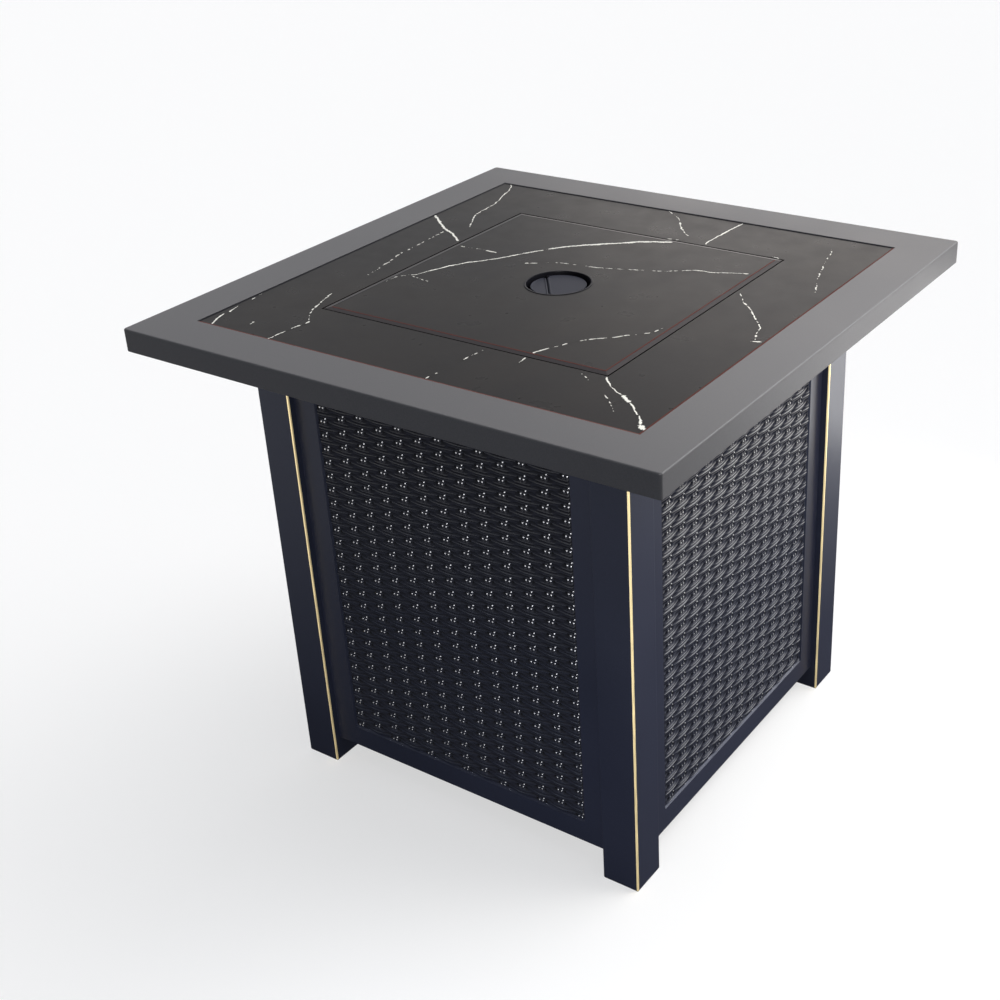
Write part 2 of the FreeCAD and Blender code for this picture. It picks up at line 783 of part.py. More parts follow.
def build_handle_cup():
    """Round cup with a thin bezel on the tile and two lugs that hold the pin."""
    wall = rod("cup_outer", "cup_radius", "cup_depth + cup_wall", (0, 0, f"{CUP_FLOOR} - cup_wall"))
    bezel = rod("cup_bezel", "cup_radius + bezel_overlap", "bezel_height", (0, 0, "total_height"))
    inside = rod("cup_inside", CUP_INSIDE, "cup_depth + bezel_height", (0, 0, CUP_FLOOR))
    shell = cut("cup_shell", join("cup_body", [wall, bezel]), [inside])
    y_span = ("-grip_pin_offset - grip_lug_width / 2", "-grip_pin_offset + grip_lug_width / 2")
    z_span = (f"{GRIP_PIN_HEIGHT} - grip_lug_height / 2", f"{GRIP_PIN_HEIGHT} + grip_lug_height / 2")
    lugs = [
        block(f"cup_lug_{i}", span(sign, "grip_lug_start", "cup_radius"), y_span, z_span)
        for i, sign in enumerate((-1, 1))
    ]
    lug_pair = DOC.addObject("Part::Common", "cup_lugs")
    lug_pair.Base = join("cup_lug_blocks", lugs)
    lug_pair.Tool = rod("cup_lug_limit", "cup_radius - cup_wall / 2", "cup_depth", (0, 0, CUP_FLOOR))
    hole = grip_rod("cup_pin_hole", "grip_pin_radius + fit_clearance", GRIP_PIN_HALF)
    bored = cut("cup_bored_lugs", lug_pair, [hole])
    node("handle_cup", turn_grip(join("cup_with_lugs", [shell, bored])))


def grip_rod(name, radius, half_length):
    """Rod along the grip's pin."""
    start = (minus(half_length), "-grip_pin_offset", GRIP_PIN_HEIGHT)
    return rod(name, radius, f"2 * ({half_length})", start, (1, 0, 0))


def build_lid_grip():
    """Rocking disc: a small dished part beyond the seam, a large flat part, a barrel for the pin."""
    disc = rod("grip_disc", "grip_radius", "grip_thickness", (0, 0, GRIP_UNDER))
    barrel = grip_rod("grip_barrel", "grip_barrel_radius", "grip_lug_start - grip_lug_gap / 2")
    wide = both_ways("grip_radius")
    dish_round = rod(
        "grip_dish_round", "grip_radius - grip_rim", "grip_dish", (0, 0, f"{GRIP_TOP} - grip_dish"),
    )
    dish_side = block(
        "grip_dish_side", wide, ("-grip_radius", "-grip_split - grip_seam"),
        (f"{GRIP_TOP} - grip_dish", GRIP_TOP),
    )
    dish = DOC.addObject("Part::Common", "grip_dish_cut")
    dish.Base = dish_round
    dish.Tool = dish_side
    seam = block(
        "grip_seam_cut", wide, ("-grip_split - grip_seam", "-grip_split"),
        (f"{GRIP_UNDER} + grip_thickness / 3", GRIP_TOP),
    )
    notch_y = (
        "-grip_pin_offset - grip_lug_width / 2 - grip_lug_gap",
        "-grip_pin_offset + grip_lug_width / 2 + grip_lug_gap",
    )
    notches = [
        block(f"grip_notch_{i}", span(sign, "grip_lug_start - grip_lug_gap / 2", "grip_radius"),
              notch_y, (f"{GRIP_PIN_HEIGHT} - grip_barrel_radius", GRIP_TOP))
        for i, sign in enumerate((-1, 1))
    ]
    bore = grip_rod("grip_bore", "grip_pin_radius + fit_clearance", "grip_lug_start")
    grip = cut("lid_grip_cut", join("grip_body", [disc, barrel]), [dish, seam, bore] + notches)
    node("lid_grip", turn_grip(grip))


def build_grip_pin():
    """Pin through the lugs that the grip rocks on."""
    pin = grip_rod("grip_pin_rod", "grip_pin_radius", GRIP_PIN_HALF)
    node("grip_pin", turn_grip(group("grip_pin_turned", [pin])))


# ---------------------------------------------------------------- posts, rails and shelf

def post_span(sign):
    """Span of a post along one axis, on one side of the centre."""
    return span(sign, POST_INNER, POST_OUTER)


def trim_corners(x_span, y_span, width):
    """The two corners of a post that carry a trim strip: +X -Y and -X +Y."""
    return (
        ((f"{x_span[1]} - {width}", x_span[1]), (y_span[0], f"{y_span[0]} + {width}")),
        ((x_span[0], f"{x_span[0]} + {width}"), (f"{y_span[1]} - {width}", y_span[1])),
    )


def build_post(corner, x, y):
    """Box-section post with a rebate for the trim strip at two opposite corners."""
    x_span, y_span = post_span(x), post_span(y)
    z_span = ("glide_thickness", PLATE_UNDER)
    outer = block(f"post_outer_{corner}", x_span, y_span, z_span)
    core = block(
        f"post_core_{corner}",
        (f"{x_span[0]} + post_wall", f"{x_span[1]} - post_wall"),
        (f"{y_span[0]} + post_wall", f"{y_span[1]} - post_wall"),
        z_span,
    )
    backing = [
        block(f"post_backing_{corner}_{i}", spans[0], spans[1], z_span)
        for i, spans in enumerate(trim_corners(x_span, y_span, "trim_backing"))
    ]
    rebates = [
        block(f"post_rebate_{corner}_{i}", spans[0], spans[1], z_span)
        for i, spans in enumerate(trim_corners(x_span, y_span, "trim_width"))
    ]
    hollow = cut(f"post_hollow_{corner}", core, backing)
    node(f"post_{corner}", cut(f"post_cut_{corner}", outer, [hollow] + rebates))


def build_post_trim(corner, x, y):
    """Two square strips that fill the post's rebates."""
    strips = [
        block(f"trim_{corner}_{i}", spans[0], spans[1], ("glide_thickness", PLATE_UNDER))
        for i, spans in enumerate(trim_corners(post_span(x), post_span(y), "trim_width"))
    ]
    node(f"post_trim_{corner}", group(f"post_trim_group_{corner}", strips))


def build_foot_glide(corner, x, y):
    """Plastic glide: a thin sole under the post and a plug inside it."""
    sole = block(
        f"glide_sole_{corner}",
        span(x, f"{POST_INNER} + glide_inset", f"{POST_OUTER} - glide_inset"),
        span(y, f"{POST_INNER} + glide_inset", f"{POST_OUTER} - glide_inset"),
        ("0", "glide_thickness"),
    )
    inset = "(post_wall + plug_clearance)"
    plug_x = span(x, f"{POST_INNER} + {inset}", f"{POST_OUTER} - {inset}")
    plug_y = span(y, f"{POST_INNER} + {inset}", f"{POST_OUTER} - {inset}")
    z_span = ("glide_thickness", "glide_thickness + glide_plug")
    plug = block(f"glide_plug_{corner}", plug_x, plug_y, z_span)
    corners = trim_corners(post_span(x), post_span(y), "(trim_backing + plug_clearance)")
    cleared = [
        block(f"glide_corner_{corner}_{i}", spans[0], spans[1], z_span)
        for i, spans in enumerate(corners)
    ]
    cut_plug = cut(f"glide_plug_cut_{corner}", plug, cleared)
    node(f"foot_glide_{corner}", join(f"foot_glide_join_{corner}", [sole, cut_plug]))


def build_rail(level, side, low):
    """Square tube between two posts, behind a panel."""
    high = f"({low}) + rail_width"
    x_span = both_ways(POST_INNER)
    outer = block(f"{level}_rail_outer_{side}", x_span, (minus(RAIL_OUTER), minus(RAIL_INNER)), (low, high))
    inner = block(
        f"{level}_rail_inner_{side}", x_span,
        (f"-{RAIL_OUTER} + rail_wall", f"-{RAIL_INNER} - rail_wall"),
        (f"({low}) + rail_wall", f"{high} - rail_wall"),
    )
    rail = cut(f"{level}_rail_cut_{side}", outer, [inner])
    rail.Placement.Rotation = Rotation(Vector(0, 0, 1), SIDES[side])
    node(f"{level}_rail_{side}", rail)


def build_tank_shelf():
    """Shelf plate under the bottom rails, cut back round the posts."""
    z_span = (SHELF_UNDER, RAIL_UNDER)
    reach, waist = f"{RAIL_INNER} + shelf_lap", f"{POST_INNER} - shelf_gap"
    along = block("shelf_along", both_ways(reach), both_ways(waist), z_span)
    across = block("shelf_across", both_ways(waist), both_ways(reach), z_span)
    node("tank_shelf", join("tank_shelf_join", [along, across]))


def build_tank_collar():
    """Ring on the shelf that keeps the gas cylinder's foot in place."""
    outer = rod("collar_outer", "collar_radius", "collar_height", (0, 0, RAIL_UNDER))
    inner = rod("collar_inner", "collar_radius - collar_wall", "collar_height", (0, 0, RAIL_UNDER))
    node("tank_collar", cut("tank_collar_cut", outer, [inner]))


# ---------------------------------------------------------------- panels and door

def folded_panel(name, half_width, z_span, fold):
    """Sheet with its four edges folded back, outward side -Y."""
    low, high = z_span
    outer = block(
        f"{name}_sheet", both_ways(half_width), (minus(PANEL_FACE), f"-{PANEL_FACE} + {fold}"), z_span,
    )
    inner = block(
        f"{name}_space", both_ways(f"{half_width} - panel_sheet"),
        (f"-{PANEL_FACE} + panel_sheet", f"-{PANEL_FACE} + {fold}"),
        (f"{low} + panel_sheet", f"{high} - panel_sheet"),
    )
    return cut(f"{name}_folded", outer, [inner])


def pressed_panel(name, half_width, z_span, field_span, fold):
    """Folded panel with a shallow pressed field whose edges slope in."""
    folded = folded_panel(name, half_width, z_span, fold)
    low, high = field_span
    field_half = "field_width / 2"
    back = block(
        f"{name}_field_back", both_ways(f"{field_half} + panel_sheet"),
        (f"-{PANEL_BACK}", f"-{PANEL_BACK} + field_depth"),
        (f"{low} - panel_sheet", f"{high} + panel_sheet"),
    )
    field = DOC.addObject("Part::Wedge", f"{name}_field")
    for alias, text in (
        ("Xmin", minus(field_half)), ("Xmax", field_half), ("Zmin", low), ("Zmax", high),
        ("X2min", f"-{field_half} + field_bevel"), ("X2max", f"{field_half} - field_bevel"),
        ("Z2min", f"{low} + field_bevel"), ("Z2max", f"{high} - field_bevel"),
        ("Ymin", minus(PANEL_FACE)), ("Ymax", f"-{PANEL_FACE} + field_depth"),
    ):
        field.setExpression(alias, bound(text))
    return cut(f"{name}_pressed", join(f"{name}_body", [folded, back]), [field])


def build_side_panel(side):
    """Pressed panel fixed between two posts."""
    field_span = ("panel_bottom + field_border", f"{PANEL_TOP} - field_border")
    panel = pressed_panel(side, POST_INNER, ("panel_bottom", PANEL_TOP), field_span, "panel_fold")
    panel.Placement.Rotation = Rotation(Vector(0, 0, 1), SIDES[side])
    node(f"{side}_panel", panel)


DOOR_HALF = f"({POST_INNER} - door_gap)"
DOOR_UNDER = f"({RAIL_UNDER} + door_lift)"
DOOR_TOP = f"({CONTROL_UNDER} - door_gap)"
HINGE_X = f"({DOOR_HALF} - hinge_inset)"
HINGE_Y = f"({PANEL_FACE} - hinge_setback)"


def build_access_door():
    """Pressed rear door, hemmed inside, with a pin hole in its top and bottom folds."""
    field_span = ("panel_bottom + field_border", f"{DOOR_TOP} - field_border")
    pressed = pressed_panel("door", DOOR_HALF, (DOOR_UNDER, DOOR_TOP), field_span, "door_fold")
    hem_y = (f"-{PANEL_FACE} + door_fold - panel_sheet", f"-{PANEL_FACE} + door_fold")
    hem_outer = block("door_hem_outer", both_ways(DOOR_HALF), hem_y, (DOOR_UNDER, DOOR_TOP))
    hem_inner = block(
        "door_hem_inner", both_ways(f"{DOOR_HALF} - door_hem"), hem_y,
        (f"{DOOR_UNDER} + door_hem", f"{DOOR_TOP} - door_hem"),
    )
    hem = cut("door_hem_cut", hem_outer, [hem_inner])
    bore = rod(
        "door_pin_bore", "hinge_radius + hinge_clearance", f"{DOOR_TOP} - {DOOR_UNDER}",
        (HINGE_X, minus(HINGE_Y), DOOR_UNDER),
    )
    door = cut("access_door_cut", join("door_body", [pressed, hem]), [bore])
    door.Placement.Rotation = Rotation(Vector(0, 0, 1), SIDES["rear"])
    node("access_door", door)


def build_hinge_pins():
    """Short pins above and below the door that it swings on."""
    lower = rod("hinge_pin_lower", "hinge_radius", "hinge_length", (minus(HINGE_X), HINGE_Y, RAIL_UNDER))
    upper = rod(
        "hinge_pin_upper", "hinge_radius", "hinge_length",
        (minus(HINGE_X), HINGE_Y, f"{CONTROL_UNDER} - hinge_length"),
    )
    node("hinge_pins", group("hinge_pins_group", [lower, upper]))


def build_hinge_plate():
    """Plate under the rear bottom rail that carries the lower pin."""
    x_high = f"-{DOOR_HALF} + hinge_plate_width"
    node("hinge_plate", block(
        "hinge_plate_block", (minus(DOOR_HALF), x_high),
        (f"{RAIL_OUTER} - hinge_plate_lap", f"{PANEL_FACE} + hinge_plate_reach"),
        (f"{RAIL_UNDER} - hinge_plate", RAIL_UNDER),
    ))


def build_door_pull():
    """Bent round bar on the door's field, near its free edge."""
    middle_x = "(field_width / 2 - pull_inset)"
    middle_z = f"(({DOOR_TOP} + {DOOR_UNDER}) / 2)"
    bar_y = f"({PANEL_FACE} + pull_standoff)"
    bend_y = f"({bar_y} - pull_bend)"
    leg_half = "(pull_length / 2 - pull_radius)"
    bar_half = f"({leg_half} - pull_bend)"
    bar_start = (middle_x, bar_y, f"{middle_z} - {bar_half}")
    parts = [rod("pull_bar", "pull_radius", f"2 * {bar_half}", bar_start)]
    for end, sign in (("lower", -1), ("upper", 1)):
        foot = (middle_x, f"{PANEL_FACE} - field_depth", f"{middle_z} + {sign} * {leg_half}")
        parts.append(rod(
            f"pull_{end}_leg", "pull_radius", "pull_standoff + field_depth - pull_bend", foot, (0, 1, 0),
        ))
        centre = (middle_x, bend_y, f"{middle_z} + {sign} * {bar_half}")
        parts.append(bend(
            f"pull_{end}_bend", ("pull_bend", "pull_radius"), centre, (0, 0, sign), (0, 1, 0),
        ))
    node("door_pull", join("door_pull_join", parts))


def build_catch():
    """Magnet on the post's face and a strike plate on the door's hem."""
    z_span = ("catch_centre - catch_length / 2", "catch_centre + catch_length / 2")
    hem_back = f"({PANEL_FACE} - door_fold)"
    strike_back = f"({hem_back} - strike_sheet)"
    magnet_front = f"({strike_back} - catch_gap)"
    node("catch_magnet", block(
        "catch_magnet_block", (f"{POST_INNER} - catch_width", POST_INNER),
        (f"{magnet_front} - catch_depth", magnet_front), z_span,
    ))
    node("catch_strike", block(
        "catch_strike_block", (f"{DOOR_HALF} - panel_sheet - strike_width", f"{DOOR_HALF} - panel_sheet"),
        (strike_back, hem_back), z_span,
    ))


# ---------------------------------------------------------------- controls and gas feed

def build_control_panel():
    """Plain folded strip above the door, bored for the valve stem and the igniter."""
    folded = folded_panel("control", POST_INNER, (CONTROL_UNDER, PANEL_TOP), "panel_fold")
    stem_hole = rod(
        "control_stem_hole", "stem_radius + stem_hole_clearance", "panel_sheet",
        (0, minus(PANEL_FACE), CONTROL_CENTRE), (0, 1, 0),
    )
    igniter_hole = rod(
        "control_igniter_hole", "igniter_radius + fit_clearance", "panel_sheet",
        ("-igniter_place", minus(PANEL_FACE), CONTROL_CENTRE), (0, 1, 0),
    )
    panel = cut("control_panel_cut", folded, [stem_hole, igniter_hole])
    panel.Placement.Rotation = Rotation(Vector(0, 0, 1), SIDES["rear"])
    node("control_panel", panel)


def build_valve_body():
    """Valve block with a collar to the panel and a flared gas inlet pointing down."""
    body = block(
        "valve_block", ("-valve_side", "-valve_side + valve_width"),
        (f"{VALVE_FRONT} - valve_depth", VALVE_FRONT), (VALVE_UNDER, f"{VALVE_UNDER} + valve_height"),
    )
    collar = rod(
        "valve_collar", "valve_collar_radius", f"{PANEL_BACK} - {VALVE_FRONT}",
        (0, VALVE_FRONT, CONTROL_CENTRE), (0, 1, 0),
    )
    inlet_end = ("inlet_place", f"{VALVE_FRONT} - valve_depth / 2", f"{VALVE_UNDER} - inlet_length")
    inlet = rod("valve_inlet", "inlet_radius", "inlet_length", inlet_end)
    inlet_bore = rod("valve_inlet_bore", "inlet_bore", "inlet_length", inlet_end)
    stem_bore = rod(
        "valve_stem_bore", "stem_radius + stem_clearance", "stem_inside + stem_travel_room",
        (0, f"{PANEL_BACK} - stem_inside - stem_travel_room", CONTROL_CENTRE), (0, 1, 0),
    )
    solid = join("valve_solid", [body, collar, inlet])
    node("valve_body", cut("valve_body_cut", solid, [inlet_bore, stem_bore]))


def build_valve_stem():
    """Spindle from the valve through the panel into the knob."""
    node("valve_stem", rod(
        "valve_stem_rod", "stem_radius", "stem_inside + panel_sheet + stem_outside",
        (0, f"{PANEL_BACK} - stem_inside", CONTROL_CENTRE), (0, 1, 0),
    ))


def build_control_knob():
    """Round knob with a raised grip bar and a blind bore for the stem."""
    disc = chamfered_disc("knob_disc", "knob_radius", "knob_length", "knob_chamfer")
    bar = block(
        "knob_bar", both_ways("knob_bar_width / 2"), both_ways("knob_radius - 2 * knob_chamfer"),
        ("knob_length", "knob_length + knob_bar_height"),
    )
    bore = rod(
        "knob_bore", "stem_radius + stem_clearance", "stem_outside - knob_gap + stem_end_gap", (0, 0, 0),
    )
    knob = cut("control_knob_cut", join("knob_body", [disc, bar]), [bore])
    knob.Placement.Rotation = Rotation(Vector(1, 0, 0), -90)
    place(knob, (0, f"{PANEL_FACE} + knob_gap", CONTROL_CENTRE))
    node("control_knob", knob)


def build_igniter():
    """Igniter body through the panel with a flange, and the push button in its bore."""
    back = f"{PANEL_FACE} - igniter_length + igniter_flange"
    axis_start = ("igniter_place", back, CONTROL_CENTRE)
    body = rod("igniter_case", "igniter_radius", "igniter_length", axis_start, (0, 1, 0))
    flange = rod(
        "igniter_flange_disc", "igniter_flange_radius", "igniter_flange",
        ("igniter_place", PANEL_FACE, CONTROL_CENTRE), (0, 1, 0),
    )
    bore = rod(
        "igniter_bore", "button_radius + stem_clearance", "igniter_bore_depth",
        ("igniter_place", f"{PANEL_FACE} + igniter_flange - igniter_bore_depth", CONTROL_CENTRE), (0, 1, 0),
    )
    node("igniter_body", cut("igniter_body_cut", join("igniter_solid", [body, flange]), [bore]))
    button = chamfered_disc("button_disc", "button_radius", "button_length", "button_chamfer")
    button.Placement.Rotation = Rotation(Vector(1, 0, 0), -90)
    place(button, (
        "igniter_place", f"{PANEL_FACE} + igniter_flange + button_out - button_length", CONTROL_CENTRE,
    ))
    node("igniter_button", button)


def build_feed_tube():
    """Rigid tube from the valve down, across under the shield and up into the air mixer."""
    valve_y = f"({VALVE_FRONT} - valve_depth / 2)"
    run_z = f"({MIXER_UNDER} - tube_drop)"
    bend_z = f"({run_z} + tube_bend)"
    drop = rod("tube_at_mixer", "tube_radius", "tube_drop - tube_bend", (0, 0, bend_z))
    run = rod("tube_run", "tube_radius", f"{valve_y} - 2 * tube_bend", (0, "tube_bend", run_z), (0, 1, 0))
    rise = rod(
        "tube_at_valve", "tube_radius", f"{VALVE_UNDER} - {run_z} - tube_bend", (0, valve_y, bend_z),
    )
    radii = ("tube_bend", "tube_radius")
    bends = [
        bend("tube_bend_mixer", radii, (0, "tube_bend", bend_z), (0, -1, 0), (0, 0, -1)),
        bend("tube_bend_valve", radii, (0, f"{valve_y} - tube_bend", bend_z), (0, 0, -1), (0, 1, 0)),
    ]
    node("feed_tube", join("feed_tube_join", [drop, run, rise] + bends))


# ---------------------------------------------------------------- build, check and write

def build_all():
    """Build every sub-part of the table."""
    build_tabletop_frame()
    build_tabletop_skirt()
    build_tile_ring()
    build_support_plate()
    build_lid_seat()
    build_burner_pan()
    build_pan_screws()
    build_heat_shield()
    build_burner_ring()
    build_burner_nut()
    build_air_mixer()
    build_probe_bracket()
    build_probes()
    build_rock_grate()
    build_lava_rocks()
    build_lid_tray()
    build_lid_tile()
    build_lid_pads()
    build_handle_cup()
    build_lid_grip()
    build_grip_pin()
    for corner, (x, y) in CORNERS.items():
        build_post(corner, x, y)
        build_post_trim(corner, x, y)
        build_foot_glide(corner, x, y)
    for side in SIDES:
        build_rail("top", side, f"{PLATE_UNDER} - rail_width")
        build_rail("bottom", side, RAIL_UNDER)
    build_tank_shelf()
    build_tank_collar()
    for side in ("front", "right", "left"):
        build_side_panel(side)
    build_access_door()
    build_hinge_pins()
    build_hinge_plate()
    build_door_pull()
    build_catch()
    build_control_panel()
    build_valve_body()
    build_valve_stem()
    build_control_knob()
    build_igniter()
    build_feed_tube()


def check_all():
    """Stop if any object failed or any sub-part has no sound shape."""
    for item in DOC.Objects:
        if "Invalid" in item.State or "Error" in item.State:
            raise RuntimeError(f"{item.Name} is {item.State}")
    for item in NODES:
        if item.Shape.isNull() or not item.Shape.isValid():
            raise RuntimeError(f"{item.Label} has no valid shape")


def write_all():
    """Write each sub-part to its own file."""
    os.makedirs("parts", exist_ok=True)
    for item in NODES:
        item.Shape.exportStep(os.path.join("parts", f"{item.Label}.step"))
        box = item.Shape.BoundBox
        print(
            f"{item.Label:24s} solids {len(item.Shape.Solids):3d}  volume {item.Shape.Volume:12.1f}  "
            f"x {box.XMin:8.2f} {box.XMax:8.2f}  y {box.YMin:8.2f} {box.YMax:8.2f}  "
            f"z {box.ZMin:8.2f} {box.ZMax:8.2f}"
        )


build_all()
DOC.recompute()
check_all()
write_all()
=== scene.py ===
"""Looks of a square gas fire-pit table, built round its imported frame.

Metres, +Z up, -Y the front, +X the right side, and the controls and the door at the rear, +Y.
"""

import logging
import math
from dataclasses import dataclass
from enum import Enum
from typing import Callable, Iterable, Iterator, Optional, Sequence

import bmesh
import bpy
import numpy as np
from mathutils import Matrix, Vector, noise


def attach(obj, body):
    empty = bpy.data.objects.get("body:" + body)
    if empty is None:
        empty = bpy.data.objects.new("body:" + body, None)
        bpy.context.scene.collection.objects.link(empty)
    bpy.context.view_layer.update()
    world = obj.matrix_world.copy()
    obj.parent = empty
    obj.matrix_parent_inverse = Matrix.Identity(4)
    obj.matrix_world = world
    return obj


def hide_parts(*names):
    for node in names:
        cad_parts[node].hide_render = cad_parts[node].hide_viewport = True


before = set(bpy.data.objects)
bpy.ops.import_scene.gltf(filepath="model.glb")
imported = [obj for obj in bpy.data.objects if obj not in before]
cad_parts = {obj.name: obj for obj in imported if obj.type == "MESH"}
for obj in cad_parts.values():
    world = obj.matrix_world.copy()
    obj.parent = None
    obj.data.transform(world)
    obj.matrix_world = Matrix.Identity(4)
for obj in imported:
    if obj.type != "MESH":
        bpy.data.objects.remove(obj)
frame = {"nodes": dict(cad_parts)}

LOG = logging.getLogger("fire_table")
MM = 0.001
WHITE_IRRADIANCE = math.pi  # a white card under this much light renders as 1
SLIVER = 0.02 * MM  # overlap or gap that keeps two skins from sharing a plane
BEAD_CORNER = 0.3 * MM  # plan radius of a sealant bead's corners
PRINT_SPECULAR = 0.038  # clear gloss over the marble print, the same on its stone and its veins

Colour = tuple[float, float, float]
Place = tuple[float, float, float]
Point = tuple[float, float]
Loop = list[Vector]
Skin = tuple[list[Vector], list[list[int]]]


class Body(Enum):
    """The bodies that pieces ride on."""

    TABLE = "table"
    LID = "lid"
    GRIP = "grip"
    DOOR = "door"
    KNOB = "knob"


class Slot(Enum):
    """Names of the table's material slots."""

    FRAME = "frame_grey"
    MARBLE = "marble_print"
    BODY = "body_navy"
    HANDLE = "handle_grey"
    LAVA = "lava"
    KNOB = "knob_black"


# ---------------------------------------------------------------- shader helpers


class ShaderSheet:
    """A material's node tree with short ways to add and link nodes."""

    def __init__(self, name: str) -> None:
        """Start a material.

        Args:
            name: the material's name.
        """
        self.material = bpy.data.materials.new(name)
        self.material.use_nodes = True
        self.tree = self.material.node_tree
        self.surface = self.tree.nodes["Principled BSDF"]
        coordinates = self.tree.nodes.new("ShaderNodeTexCoord")
        self.place = coordinates.outputs["Object"]

    def node(self, kind: str, inputs: Optional[dict] = None, **settings: object) -> bpy.types.Node:
        """Add a node.

        Args:
            kind: the node's type name without its ShaderNode prefix.
            inputs: input name or number to a value or to another node's output.
            settings: attributes of the node.

        Returns:
            The node.
        """
        made = self.tree.nodes.new("ShaderNode" + kind)
        for key, value in settings.items():
            setattr(made, key, value)
        for key, value in (inputs or {}).items():
            self.feed(made.inputs[key], value)
        return made

    def feed(self, socket: bpy.types.NodeSocket, value: object) -> None:
        """Link an output to a socket, or set the socket's own value.

        Args:
            socket: the input to fill.
            value: an output, a number or a tuple.
        """
        if isinstance(value, bpy.types.NodeSocket):
            self.tree.links.new(value, socket)
        elif isinstance(value, tuple) and len(value) == 3 and socket.type == "RGBA":
            socket.default_value = (*value, 1.0)
        else:
            socket.default_value = value

    def set(self, **values: object) -> None:
        """Fill the surface shader's sockets, with underscores for the spaces in their names."""
        for key, value in values.items():
            self.feed(self.surface.inputs[key.replace("_", " ")], value)

    def noise(
        self, size: float, detail: float = 3.0, stretch: Place = (1.0, 1.0, 1.0)
    ) -> bpy.types.NodeSocket:
        """Cloudy pattern.

        Args:
            size: width of one cloud in metres.
            detail: how many finer layers it has.
            stretch: how much longer the clouds are along each axis.

        Returns:
            Its value, about 0.5 on average.
        """
        share = tuple(1 / part for part in stretch)
        scaled = self.node("VectorMath", {0: self.place, 1: share}, operation="MULTIPLY")
        made = self.node("TexNoise", {"Vector": scaled.outputs[0], "Scale": 1 / size, "Detail": detail})
        return made.outputs[0]

    def cells(self, size: float) -> bpy.types.NodeSocket:
        """Random grey per cell of a crystal-like pattern, for cells of a size in metres."""
        made = self.node("TexVoronoi", {"Vector": self.place, "Scale": 1 / size})
        return self.node("RGBToBW", {0: made.outputs["Color"]}).outputs[0]

    def span(
        self, value: object, low: float, high: float, to_low: float = 0.0, to_high: float = 1.0
    ) -> bpy.types.NodeSocket:
        """Map a value from one range to another, held inside it."""
        ranges = {"From Min": low, "From Max": high, "To Min": to_low, "To Max": to_high}
        return self.node("MapRange", {"Value": value, **ranges}).outputs[0]

    def maths(self, operation: str, first: object, second: object = 0.0) -> bpy.types.NodeSocket:
        """One sum on two numbers."""
        return self.node("Math", {0: first, 1: second}, operation=operation).outputs[0]

    def mix(self, share: object, first: object, second: object) -> bpy.types.NodeSocket:
        """Blend two colours.

        Args:
            share: how much of the second colour, from 0 to 1.
            first: colour or colour output at 0.
            second: colour or colour output at 1.

        Returns:
            The blended colour.
        """
        made = self.tree.nodes.new("ShaderNodeMix")
        made.data_type = "RGBA"
        self.feed(made.inputs[0], share)
        self.feed(made.inputs[6], first)
        self.feed(made.inputs[7], second)
        return made.outputs[2]

    def bump(self, height: object, depth: float) -> bpy.types.NodeSocket:
        """Normal bent by a pattern from 0 to 1, over a depth in metres."""
        return self.node("Bump", {"Height": height, "Distance": depth, "Strength": 1.0}).outputs[0]

    def attribute(self, name: str) -> bpy.types.Node:
        """Read a value that the mesh carries at its vertices."""
        return self.node("Attribute", attribute_name=name)

    def part(self, source: str, axis: int) -> bpy.types.NodeSocket:
        """One axis of the surface's own Position or Normal."""
        return self.node("SeparateXYZ", {0: self.node("NewGeometry").outputs[source]}).outputs[axis]


def shade(colour: Colour, factor: float) -> Colour:
    """A colour made lighter or darker."""
    return tuple(min(1.0, part * factor) for part in colour)


# ---------------------------------------------------------------- finishes


@dataclass(frozen=True)
class PowderCoat:
    """Baked powder paint on steel: faint orange peel, mottled tone, dust in its pits."""

    name: str
    colour: Colour
    roughness: float = 0.42
    specular: float = 0.2
    tint: Colour = (1.0, 1.0, 1.0)
    peel_size: float = 0.0011
    peel_depth: float = 0.00003
    painted_side_shade: bool = False

    def build(self) -> bpy.types.Material:
        """Make the finish.

        Returns:
            Its material.
        """
        sheet = ShaderSheet(self.name)
        mottle = sheet.span(sheet.noise(0.16, 2.0), 0.3, 0.7)
        speck = sheet.span(sheet.noise(0.0009, 2.0), 0.35, 0.65)
        broad = sheet.mix(mottle, shade(self.colour, 0.93), shade(self.colour, 1.06))
        fine = sheet.mix(speck, shade(self.colour, 0.86), shade(self.colour, 1.12))
        coat = sheet.mix(0.5, broad, fine)
        # Upright faces, such as the lid's sides in the gap round it, go near black: painted shade.
        if self.painted_side_shade:
            upward = sheet.part("Normal", 2)
            coat = sheet.mix(sheet.span(upward, 0.5, 0.8), shade(self.colour, 0.08), coat)
        sheet.set(
            Base_Color=coat,
            Roughness=sheet.span(mottle, 0.0, 1.0, self.roughness - 0.03, self.roughness + 0.04),
            Specular_IOR_Level=self.specular,
            Specular_Tint=self.tint,
            Normal=sheet.bump(sheet.noise(self.peel_size, 2.0), self.peel_depth),
        )
        return sheet.material


